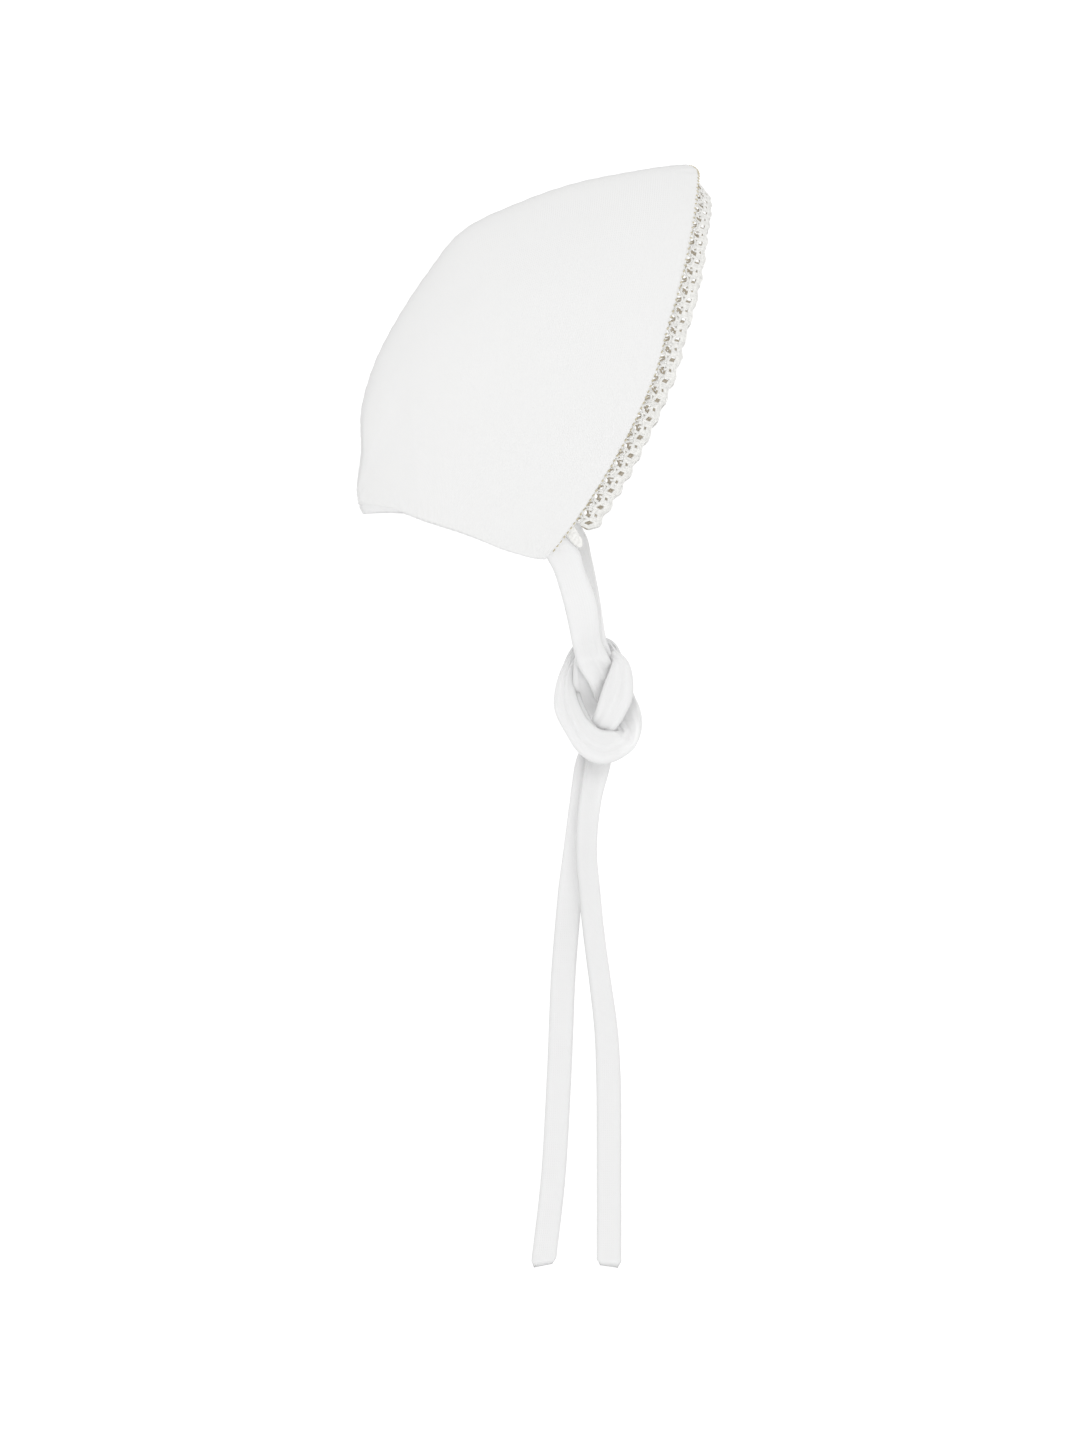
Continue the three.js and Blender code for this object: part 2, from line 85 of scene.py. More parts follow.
nodes, links = paper.node_tree.nodes, paper.node_tree.links
paper_shader = nodes["Principled BSDF"]
paper_shader.inputs["Base Color"].default_value = (0.93, 0.93, 0.93, 1)
paper_shader.inputs["Roughness"].default_value = 0.95
paper_shader.inputs["Emission Color"].default_value = (1, 1, 1, 1)
paper_shader.inputs["Emission Strength"].default_value = 0.12
clear = nodes.new("ShaderNodeBsdfTransparent")
mix = nodes.new("ShaderNodeMixShader")
facing = nodes.new("ShaderNodeNewGeometry")
links.new(facing.outputs["Backfacing"], mix.inputs["Fac"])
links.new(paper_shader.outputs["BSDF"], mix.inputs[1])
links.new(clear.outputs["BSDF"], mix.inputs[2])
links.new(mix.outputs["Shader"], nodes["Material Output"].inputs["Surface"])
stage_mesh.materials.append(paper)

scene.world = bpy.data.worlds.new("studio_air")
scene.world.use_nodes = True
scene.world.node_tree.nodes["Background"].inputs["Color"].default_value = (1, 1, 1, 1)
scene.world.node_tree.nodes["Background"].inputs["Strength"].default_value = 0.96
SOFTBOXES = [
    {"name": "key", "place": (-0.4, -2.6, 2.0), "size": 2.4, "watts": 8},
    {"name": "fill", "place": (1.3, -3.0, -0.5), "size": 2.2, "watts": 5},
]
for softbox in SOFTBOXES:
    light = bpy.data.lights.new(softbox["name"], "AREA")
    light.shape = "DISK"
    light.size = softbox["size"]
    light.energy = softbox["watts"]
    lamp = bpy.data.objects.new(softbox["name"], light)
    lamp.location = softbox["place"]
    aim = IMAGE_CENTRE - lamp.location
    lamp.rotation_euler = aim.to_track_quat("-Z", "Y").to_euler()
    scene.collection.objects.link(lamp)

# Side panels: each half of the cap is one piece of white cotton interlock jersey, seamed to the other along
# the centre line. The face edge is turned in as a thicker soft hem, and the cloth is a little puckered
# beside its seams and lightly dented where nothing pulls it tight.
CAP_LENGTH = 136.4 * MM
CAP_HEIGHT = 158 * MM
CAP_HALF_WIDTH = 54 * MM
FACE_BOW = 13 * MM
CORNER_ROUND = 4.2 * MM
LOWER_BOW = 2.3 * MM
LOWER_BOW_REACH = 0.35
CROWN_SHARE = 0.4
CLOTH = 1.6 * MM
FACE_HEM = 2.4 * MM
FACE_HEM_WIDTH = 7 * MM
FACE_HEM_GROOVE = 0.12 * MM
FACE_HEM_GROOVE_WIDTH = 0.9 * MM
SEAM_INSET = 0.04 * MM
CLEARANCE = 0.5 * MM
# top and edge are the centre line and the neck line, X in shares of CAP_LENGTH and Z of CAP_HEIGHT
SECTIONS = [
    {"top": (0.399, 0.067), "edge": (-0.044, -0.927), "width": 0.93, "edge_width": 0.44, "bow": 1.0},
    {"top": (0.323, 0.066), "edge": (-0.070, -0.924), "width": 0.95, "edge_width": 0.46, "bow": 0.88},
    {"top": (0.202, 0.051), "edge": (-0.111, -0.916), "width": 0.98, "edge_width": 0.50, "bow": 0.68},
    {"top": (0.044, 0.023), "edge": (-0.170, -0.901), "width": 1.00, "edge_width": 0.56, "bow": 0.45},
    {"top": (-0.114, -0.025), "edge": (-0.226, -0.881), "width": 1.00, "edge_width": 0.61, "bow": 0.25},
    {"top": (-0.287, -0.101), "edge": (-0.293, -0.859), "width": 0.95, "edge_width": 0.64, "bow": 0.10},
    {"top": (-0.386, -0.205), "edge": (-0.349, -0.843), "width": 0.88, "edge_width": 0.64, "bow": 0.03},
    {"top": (-0.478, -0.324), "edge": (-0.402, -0.828), "width": 0.78, "edge_width": 0.62, "bow": 0},
    {"top": (-0.545, -0.435), "edge": (-0.449, -0.813), "width": 0.66, "edge_width": 0.57, "bow": 0},
    {"top": (-0.584, -0.552), "edge": (-0.495, -0.800), "width": 0.53, "edge_width": 0.49, "bow": 0},
    {"top": (-0.584, -0.658), "edge": (-0.543, -0.792), "width": 0.38, "edge_width": 0.37, "bow": 0},
    {"top": (-0.594, -0.744), "edge": (-0.578, -0.790), "width": 0.22, "edge_width": 0.22, "bow": 0},
    {"top": (-0.592, -0.785), "edge": (-0.590, -0.790), "width": 0, "edge_width": 0, "bow": 0},
]
# at runs from the face edge to the nape, down from the centre line to the neck, depth is in CLOTH
DENTS = [
    {"at": 0.25, "down": 0.20, "depth": 0.7, "long": 0.05, "tall": 0.05},
    {"at": 0.31, "down": 0.30, "depth": 0.8, "long": 0.05, "tall": 0.06},
    {"at": 0.42, "down": 0.33, "depth": 0.7, "long": 0.04, "tall": 0.05},
    {"at": 0.45, "down": 0.46, "depth": 0.6, "long": 0.05, "tall": 0.06},
    {"at": 0.61, "down": 0.50, "depth": 0.8, "long": 0.05, "tall": 0.10},
    {"at": 0.06, "down": 0.74, "depth": 0.6, "long": 0.05, "tall": 0.08},
]
RIGHT, LEFT = -1, 1


def smooth_line(rows, way):
    """A soft line through rows of numbers, read at shares of its stretches."""
    p = np.asarray(rows, float)
    p = np.vstack([2 * p[0] - p[1], p, 2 * p[-1] - p[-2]])
    place = np.clip(np.asarray(way, float), 0, 1) * (len(p) - 3)
    k = np.minimum(place.astype(int), len(p) - 4)
    f = (place - k)[..., None]
    a, b, c, d = p[k], p[k + 1], p[k + 2], p[k + 3]
    ab, bc, cd = (
        np.maximum(np.linalg.norm(n - m, axis=-1, keepdims=True) ** 0.5, 1e-6)
        for m, n in ((a, b), (b, c), (c, d))
    )
    leave = ((b - a) / ab - (c - a) / (ab + bc) + (c - b) / bc) * bc
    arrive = ((c - b) / bc - (d - b) / (bc + cd) + (d - c) / cd) * bc
    return (
        b + f * leave + f**2 * (3 * (c - b) - 2 * leave - arrive) + f**3 * (2 * (b - c) + leave + arrive)
    )


crown_rows = [(s["top"][0] * CAP_LENGTH, 0, s["top"][1] * CAP_HEIGHT) for s in SECTIONS]
neck_rows = [(s["edge"][0] * CAP_LENGTH, 0, s["edge"][1] * CAP_HEIGHT) for s in SECTIONS]
width_rows = [
    (s["width"] * CAP_HALF_WIDTH, s["edge_width"] * CAP_HALF_WIDTH, s["bow"] * FACE_BOW) for s in SECTIONS
]


def smooth_step(value, low, high):
    t = np.clip((value - low) / (high - low), 0, 1)
    return t * t * (3 - 2 * t)


def front_corner(at, down, drop):
    """How far the face edge is rounded back where it passes over the top of the head."""
    low = np.clip(1 - drop / CORNER_ROUND, 0, 1)
    rounding = CORNER_ROUND * (1 - np.sqrt(1 - low**2))
    return rounding * (1 - smooth_step(at, 0, 0.05)) * (down < 0.5)


def cap_surface(at, down):
    """Points of the left half's plain outer face."""
    top, edge = smooth_line(crown_rows, at), smooth_line(neck_rows, at)
    width, edge_width, bow = np.moveaxis(smooth_line(width_rows, at), -1, 0)
    fall = (down - 0.5) * 2
    share = np.where(
        down < 0.5, CROWN_SHARE * (1 - np.cos(down * np.pi)), CROWN_SHARE + (1 - CROWN_SHARE) * fall
    )
    side = np.where(down < 0.5, width * np.sin(down * np.pi), width - (width - edge_width) * fall**2)
    point = top + (edge - top) * share[..., None]
    drop = (top - edge)[..., 2] * share
    low = np.clip(fall, 0, 1)
    fuller = LOWER_BOW * np.sin(np.pi * low) ** 0.6 * smooth_step(low, 0, 0.2)
    fuller = fuller * (1 - smooth_step(at, 0, LOWER_BOW_REACH))
    point[..., 0] += bow * 4 * share * (1 - share) + fuller - front_corner(at, down, drop)
    point[..., 1] = side
    return point


def unit(vectors):
    return vectors / np.maximum(np.linalg.norm(vectors, axis=-1, keepdims=True), 1e-12)


def cap_normal(at, down):
    """Outward normals of the left half."""
    step = 0.004
    low, mid = np.clip(at, step, 0.96), np.clip(down, step, 1 - step)
    back = cap_surface(low + step, mid) - cap_surface(low - step, mid)
    fall = cap_surface(low, mid + step) - cap_surface(low, mid - step)
    normal = unit(np.cross(fall, back))
    flat = (down <= 0) | (at >= 1)
    normal[..., 1] = np.where(flat, 0, normal[..., 1])
    return unit(normal)


def path_lengths(points):
    steps = np.linalg.norm(np.diff(points, axis=0), axis=-1)
    return np.concatenate([[0], np.cumsum(steps)])


CROWN_LENGTH = path_lengths(smooth_line(crown_rows, np.linspace(0, 1, 400)))[-1]
PUCKER = 0.16 * MM
PUCKER_STEP = 6.2 * MM
PUCKER_FADE = 6 * MM


def cloth_relief(at, down, along_face, from_face, from_neck, from_crown, turn):
    """How far the outer face lies in or out of the plain form."""
    relief = np.zeros_like(at)
    for dent in DENTS:
        off = ((at - dent["at"]) / dent["long"]) ** 2 + ((down - dent["down"]) / dent["tall"]) ** 2
        relief -= dent["depth"] * CLOTH * np.exp(-off)
    wave = np.sin(along_face / PUCKER_STEP * 2 * np.pi + turn) + 0.6 * np.sin(
        along_face / PUCKER_STEP * 2 * np.pi * 0.61 + 2 * turn
    )
    relief += PUCKER * wave * np.exp(-((from_face / PUCKER_FADE) ** 2))
    seam = np.sin(at * CROWN_LENGTH / PUCKER_STEP * 2 * np.pi + 1.3 * turn)
    relief += 0.6 * PUCKER * seam * np.exp(-((from_crown / PUCKER_FADE) ** 2))
    relief += 0.7 * PUCKER * seam * np.exp(-((from_neck / PUCKER_FADE) ** 2))
    drift = np.sin(at * 9 + 3 * down + turn) * np.sin(down * 11 - 4 * at + 0.7 * turn)
    return relief + 0.22 * CLOTH * drift


def sheet_shell(middle, normal, half, ahead, below, seam_side):
    """A closed soft sheet: two faces of one grid, with rounded edges where the grid ends."""
    rounds = np.radians([30, 62, 90])
    astern = np.array([1.0, 0, 0])
    rows = [middle]
    halves = [half]
    normals = [normal]
    for angle in rounds:
        rows.insert(0, (middle[:1] + ahead[:1] * half[:1, :, None] * np.sin(angle)))
        halves.insert(0, half[:1] * np.cos(angle))
        normals.insert(0, normal[:1])
        rows.append(middle[-1:] - astern * half[-1:, :, None] * np.sin(angle))
        halves.append(half[-1:] * np.cos(angle))
        normals.append(normal[-1:])
    middle, half, normal = np.concatenate(rows), np.concatenate(halves), np.concatenate(normals)
    below = np.concatenate([below[:1]] * len(rounds) + [below] + [below[-1:]] * len(rounds))
    rows, halves, normals = [middle], [half], [normal]
    for angle in rounds:
        rows.append(middle[:, -1:] + below[:, -1:] * half[:, -1:, None] * np.sin(angle))
        halves.append(half[:, -1:] * np.cos(angle))
        normals.append(normal[:, -1:])
        inner = middle[:, :1].copy()
        inner[..., 1] = seam_side * np.maximum(
            np.abs(inner[..., 1]) - half[:, :1] * np.sin(angle), SEAM_INSET
        )
        rows.insert(0, inner)
        halves.insert(0, half[:, :1] * np.cos(angle))
        normals.insert(0, normal[:, :1])
    middle = np.concatenate(rows, axis=1)
    half = np.concatenate(halves, axis=1)[..., None]
    normal = np.concatenate(normals, axis=1)
    return middle + normal * half, middle - normal * half


def face_outwards(work):
    """Turns the faces of each closed body of a mesh outwards."""
    bmesh.ops.recalc_face_normals(work, faces=work.faces)
    for face in work.faces:
        face.tag = False
    inward = []
    for first in work.faces:
        if first.tag:
            continue
        first.tag = True
        body = [first]
        for face in body:
            for other in (other for edge in face.edges for other in edge.link_faces):
                if not other.tag:
                    other.tag = True
                    body.append(other)
        start = first.verts[0].co
        room = sum((face.calc_center_median() - start).dot(face.normal) * face.calc_area() for face in body)
        if room < 0:
            inward += body
    bmesh.ops.reverse_faces(work, faces=inward)


def grid_mesh(name, faces_list, uv_list, material, painted_light_and_shade_list=None):
    """One smooth mesh from grids of points, welded where they meet, with its normals out."""
    vertices, polygons, uvs = [], [], []
    for points, uv in zip(faces_list, uv_list):
        rows, columns = points.shape[:2]
        start = len(vertices)
        vertices.extend(map(tuple, points.reshape(-1, 3)))
        flat_uv = uv.reshape(-1, 2)
        for i in range(rows - 1):
            for j in range(columns - 1):
                a = i * columns + j
                quad = (a, a + 1, a + columns + 1, a + columns)
                polygons.append(tuple(start + q for q in quad))
                uvs.extend(tuple(flat_uv[q]) for q in quad)
    mesh = bpy.data.meshes.new(name)
    mesh.from_pydata(vertices, [], polygons)
    layer = mesh.uv_layers.new(name="cloth_metres")
    layer.data.foreach_set("uv", np.array(uvs, np.float32).ravel())
    if painted_light_and_shade_list:
        # Per-point painted light and shade, which the jersey material reads.
        painted_light_attribute = mesh.attributes.new("painted_light_and_shade", "FLOAT", "POINT")
        painted_light_attribute.data.foreach_set("value", np.concatenate([grid.ravel() for grid in painted_light_and_shade_list]))
    work = bmesh.new()
    work.from_mesh(mesh)
    bmesh.ops.remove_doubles(work, verts=work.verts, dist=2e-6)
    bmesh.ops.dissolve_degenerate(work, edges=work.edges, dist=1e-7)
    face_outwards(work)
    work.to_mesh(mesh)
    work.free()
    mesh.shade_smooth()
    mesh.materials.append(material)
    piece = bpy.data.objects.new(name, mesh)
    scene.collection.objects.link(piece)
    return piece


def fill_inputs(tree, node, inputs):
    """Sets a node's inputs, given as values or as outputs of other nodes."""
    for key, value in inputs.items():
        if isinstance(value, bpy.types.NodeSocket):
            tree.links.new(value, node.inputs[key])
        else:
            node.inputs[key].default_value = value


def add_node(tree, kind, inputs={}, **settings):
    node = tree.nodes.new(kind)
    for key, value in settings.items():
        setattr(node, key, value)
    fill_inputs(tree, node, inputs)
    return node


def calc(tree, operation, *values):
    return add_node(tree, "ShaderNodeMath", dict(enumerate(values)), operation=operation).outputs[0]


def ramp(tree, value, low, high, at_low, at_high):
    """A value that runs evenly from at_low to at_high while another runs from low to high."""
    limits = {"From Min": low, "From Max": high, "To Min": at_low, "To Max": at_high}
    return add_node(tree, "ShaderNodeMapRange", {"Value": value, **limits}).outputs["Result"]


def node_group(name, kind, inputs, outputs):
    """An empty node group with named inputs and outputs, and what its inputs give."""
    tree = bpy.data.node_groups.new(name, kind)
    for way, sockets in (("INPUT", inputs), ("OUTPUT", outputs)):
        for label, socket in sockets.items():
            tree.interface.new_socket(label, in_out=way, socket_type="NodeSocket" + socket)
    return tree, add_node(tree, "NodeGroupInput").outputs


def knit_group():
    """Interlock jersey: fine ribs of small V stitches, with a little painted shade in their grooves, and the
    soft unevenness of washed cotton.
    """
    tree, given = node_group(
        "interlock_knit", "ShaderNodeTree",
        {"Wale Width": "Float", "Course Height": "Float", "Unevenness": "Float"},
        {"Height": "Float", "Tone": "Float"},
    )
    uv = add_node(tree, "ShaderNodeUVMap", uv_map="cloth_metres")
    split = add_node(tree, "ShaderNodeSeparateXYZ", {0: uv.outputs["UV"]}).outputs
    wale = calc(tree, "FRACT", calc(tree, "DIVIDE", split["X"], given["Wale Width"]))
    course = calc(tree, "DIVIDE", split["Y"], given["Course Height"])
    off_centre = calc(tree, "SUBTRACT", wale, 0.5)
    rib = calc(tree, "COSINE", calc(tree, "MULTIPLY", off_centre, 2 * math.pi))
    slant = calc(tree, "ADD", course, calc(tree, "MULTIPLY", calc(tree, "ABSOLUTE", off_centre), 0.9))
    stitch = calc(tree, "SINE", calc(tree, "MULTIPLY", slant, 2 * math.pi))
    height = calc(tree, "ADD", calc(tree, "MULTIPLY", rib, 0.6), calc(tree, "MULTIPLY", stitch, 0.35))
    noise = add_node(tree, "ShaderNodeTexNoise", {"Vector": uv.outputs["UV"], "Scale": 60.0, "Detail": 4.0})
    uneven = calc(
        tree, "MULTIPLY", calc(tree, "SUBTRACT", noise.outputs["Fac"], 0.5), given["Unevenness"]
    )
    # Tone: the stitch relief paints the grooves a little darker as painted shade, plus random unevenness.
    tone = calc(tree, "ADD", calc(tree, "MULTIPLY", height, 0.12), uneven)
    out = add_node(tree, "NodeGroupOutput")
    tree.links.new(height, out.inputs["Height"])
    tree.links.new(tone, out.inputs["Tone"])
    return tree


KNIT = knit_group()


def shaded_colour(tree, colour, light):
    """A colour made lighter or darker over the surface."""
    inputs = {"Factor": 1, "A": colour, "B": light}
    return add_node(tree, "ShaderNodeMix", inputs, data_type="RGBA", blend_type="MULTIPLY").outputs["Result"]


def bumped_normal(tree, height, strength, distance):
    inputs = {"Height": height, "Strength": strength, "Distance": distance}
    return add_node(tree, "ShaderNodeBump", inputs).outputs["Normal"]


def new_material(name):
    material = bpy.data.materials.new(name)
    material.use_nodes = True
    return material, material.node_tree


def jersey(name, white, wale=0.9 * MM, glow=0.0):
    """White cotton jersey: matt, with painted shade where it turns away from the view, and the painted light
    and shade that a mesh gives it per point.
    """
    material, tree = new_material(name)
    knit = add_node(tree, "ShaderNodeGroup", node_tree=KNIT)
    fill_inputs(tree, knit, {"Wale Width": wale, "Course Height": wale * 1.2, "Unevenness": 0.35})
    tone = ramp(tree, knit.outputs["Tone"], -0.4, 0.4, 0.985, 1.01)
    # Painted shade: the colour is greyed where the surface turns away from the view.
    turned = add_node(tree, "ShaderNodeLayerWeight", {"Blend": 0.5})
    edge = calc(tree, "MULTIPLY", calc(tree, "POWER", turned.outputs["Facing"], 7.0), -EDGE_PAINTED_SHADE)
    # Painted light and shade, read per point: lighter in shaded folds, darker where the cloth hangs free and
    # at the strap edges.
    painted_light_attribute = add_node(tree, "ShaderNodeAttribute", attribute_name="painted_light_and_shade")
    fold = calc(tree, "MULTIPLY", painted_light_attribute.outputs["Fac"], PAINTED_LIGHT_AND_SHADE_SCALE)
    painted_shade_and_light = calc(tree, "ADD", calc(tree, "ADD", edge, 1.0), fold)
    light = calc(tree, "MULTIPLY", tone, painted_shade_and_light)
    fill_inputs(tree, tree.nodes["Principled BSDF"], {
        "Base Color": shaded_colour(tree, (*white, 1), light),
        "Roughness": 0.9,
        "Specular IOR Level": 0.2,
        "Subsurface Weight": glow,
        "Subsurface Radius": (1, 1, 1),
        "Subsurface Scale": 2.5 * MM,
        "Normal": bumped_normal(tree, knit.outputs["Height"], 0.2, 0.12 * MM),
    })
    return material


EDGE_PAINTED_SHADE = 0.22
PAINTED_LIGHT_AND_SHADE_SCALE = 0.13
PANEL_WHITE = (0.822, 0.822, 0.818)
cap_jersey = jersey("cap_jersey", PANEL_WHITE)
# the cut of one panel: from the face edge to the back, from the centre seam to the neck, and its area
PANEL_STATIONS = 130
PANEL_ROWS = 120
for side, turn, name in ((RIGHT, 0.4, "side_panel_right"), (LEFT, 2.1, "side_panel_left")):
    at, down = np.meshgrid(
        np.linspace(0, 1, PANEL_STATIONS) ** 1.08, np.linspace(0, 1, PANEL_ROWS), indexing="ij"
    )
    plain = cap_surface(at, down)
    normal = cap_normal(at, down)
    fall_lengths = np.stack([path_lengths(row) for row in plain])
    along_lengths = np.stack([path_lengths(row) for row in plain.transpose(1, 0, 2)], axis=1)
    from_neck = fall_lengths[:, -1:] - fall_lengths
    relief = cloth_relief(
        at, down, fall_lengths[:1] + 0 * at, along_lengths, from_neck, fall_lengths, turn
    )
    hem = smooth_step(along_lengths, FACE_HEM_WIDTH, FACE_HEM_WIDTH * 1.5)
    thick = FACE_HEM + (CLOTH - FACE_HEM) * hem
    from_groove = (along_lengths - FACE_HEM_WIDTH * 1.15) / FACE_HEM_GROOVE_WIDTH
    relief -= FACE_HEM_GROOVE * np.exp(-(from_groove**2))
    outer = plain + normal * relief[..., None]
    middle = outer - normal * (thick / 2)[..., None]
    shrink = np.minimum(1, 0.55 + (1 - at) * 12)
    middle[..., 1] = np.maximum(middle[..., 1], CLOTH / 2 * shrink)
    ahead = unit(cap_surface(0 * at, down) - cap_surface(0 * at + 0.02, down))
    short_at = np.minimum(at, 0.98)
    below = unit(cap_surface(short_at, 0 * at + 1) - cap_surface(short_at, 0 * at + 0.97))
    top, bottom = sheet_shell(middle, normal, thick / 2 * shrink, ahead, below, 1)
    uv = np.stack([along_lengths, fall_lengths], axis=-1)
    uv = np.concatenate([uv[:1]] * 3 + [uv] + [uv[-1:]] * 3)
    uv = np.concatenate([uv[:, :1]] * 3 + [uv] + [uv[:, -1:]] * 3, axis=1)
    for grid in (top, bottom):
        grid[..., 1] *= side
    panel = grid_mesh(name + "_cloth", [top, bottom], [uv, uv], cap_jersey)
    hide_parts(name)
    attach(panel, "root")

# Neck hem: the neck edge is turned in once and stitched, so a narrow band of the same jersey lies inside
# the panels from one front corner round the nape to the other, where it drops a little out of the cap.
NECK_HEM_WIDTH = 8 * MM
NECK_HEM_CLOTH = 1.2 * MM
NECK_HEM_INSET = 0.4 * MM
NECK_HEM_GAP = 0.1 * MM
NAPE_DROOP = 3.8 * MM
NAPE_DROOP_SPREAD = 0.34
NAPE_ROLL = 1.5 * MM
# the hem turns out between the first two levels above and below the neck edge, and back in between the others
NAPE_ROLL_LEVELS = [-1.6 * MM, 0.8 * MM, 1.2 * MM, 4.2 * MM]
NECK_HEM_RIPPLE = 0.12 * MM
NECK_HEM_START = 0.14
HEM_STEPS = 220
HEM_ROWS = 14
hem_jersey = jersey("hem_jersey", (0.80, 0.80, 0.80))


def mirrored(points, side):
    points = points.copy()
    points[..., 1] *= side[..., None] if points.ndim > side.ndim + 1 else side
    return points


def neck_point(way):
    at = 1 - np.abs(way) * (1 - NECK_HEM_START)
    return mirrored(cap_surface(at, np.ones_like(at)), np.sign(way))


way = np.linspace(-1, 1, HEM_STEPS)
tangent = unit(neck_point(way + 0.01) - neck_point(way - 0.01))
hem_at = np.minimum(1 - np.abs(way) * (1 - NECK_HEM_START), 0.98)
fall = unit(cap_surface(hem_at, np.ones_like(way)) - cap_surface(hem_at, np.full_like(way, 0.96)))
fall = mirrored(fall, np.sign(way))
share = smooth_step(np.abs(way), 0, 0.25)[:, None]
fall = np.array([0, 0, -1.0]) * (1 - share) + fall * share
fall = unit(fall - tangent * (fall * tangent).sum(-1, keepdims=True))
outward = unit(np.cross(tangent, fall))
base = neck_point(way) - outward * (CLOTH + NECK_HEM_GAP + NECK_HEM_CLOTH / 2)
sag = np.exp(-((way / NAPE_DROOP_SPREAD) ** 4))
droop = NAPE_DROOP * sag - NECK_HEM_INSET
level = np.linspace(0, 1, HEM_ROWS)[None, :] * (NECK_HEM_WIDTH + droop)[:, None] - NECK_HEM_WIDTH
ripple = np.sin(way * 62)[:, None] * np.linspace(0.2, 1, HEM_ROWS)[None, :] * NECK_HEM_RIPPLE
rolled = smooth_step(level, *NAPE_ROLL_LEVELS[:2]) - 0.9 * smooth_step(level, *NAPE_ROLL_LEVELS[2:])
ripple += NAPE_ROLL * sag[:, None] * rolled
middle = base[:, None] + fall[:, None] * level[..., None] + outward[:, None] * ripple[..., None]
hem_half = np.full(middle.shape[:2], NECK_HEM_CLOTH / 2)
edges = np.radians([90, 62, 30])


def rounded_rows(middle, half, toward):
    """Rows added before the first and after the last, which round off the thickness."""
    rows = [(middle, half)]
    for a in edges[::-1]:
        rows.insert(0, (middle[:1] - toward[:1] * half[:1, :, None] * math.sin(a), half[:1] * math.cos(a)))
        rows.append((middle[-1:] + toward[-1:] * half[-1:, :, None] * math.sin(a), half[-1:] * math.cos(a)))
    return [np.concatenate(part) for part in zip(*rows)]


ring_middle, ring_half = rounded_rows(middle.swapaxes(0, 1), hem_half.T, fall[None])
full_middle, full_half = rounded_rows(ring_middle.swapaxes(0, 1), ring_half.T, tangent[:, None])
full_half = full_half[..., None]
full_out = np.concatenate([outward[:1]] * 3 + [outward] + [outward[-1:]] * 3)[:, None]
hem_uv = np.stack(
    np.broadcast_arrays(
        path_lengths(full_middle[:, 0])[:, None], np.linspace(0, NECK_HEM_WIDTH, full_middle.shape[1])[None]
    ),
    axis=-1,
)
neck_hem = grid_mesh(
    "neck_hem_band",
    [full_middle + full_out * full_half, full_middle - full_out * full_half],
    [hem_uv, hem_uv],
    hem_jersey,
)
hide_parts("neck_hem")
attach(neck_hem, "root")

# Ties: each is a strip of the same jersey folded and sewn into a soft flat strap, stitched under the front
# corner of its panel. The two go together through one overhand knot and hang free below it, cut off
# straight with softened corners.
TIE_WIDTH = 12.8 * MM
STRAP_WIDTH = 9.8 * MM
TIE_CLOTH = 1.4 * MM
TIE_STACK_GAP = 1.0 * MM
TIE_TUCK = 4 * MM
KNOT_FORWARD = 21 * MM
KNOT_DROP = 58 * MM
KNOT_SIZE = np.array([34.4, 9.5, 51.2]) * MM
TAIL_LENGTH = 202 * MM
TAIL_SPREAD = 25.6 * MM
# Each tie on its way to the knot: the forward swing of its rear and its front edge, in shares of TIE_WIDTH.
DROPS = [
    {"down": 0.18, RIGHT: (0.13, 0.34), LEFT: (0.30, 0.21)},
    {"down": 0.32, RIGHT: (0.15, 0.31), LEFT: (0.34, 0.20)},
    {"down": 0.65, RIGHT: (0.11, 0.29), LEFT: (0.22, 0.13)},
]
SEAT_REACH = {RIGHT: 0.66, LEFT: 1.25}
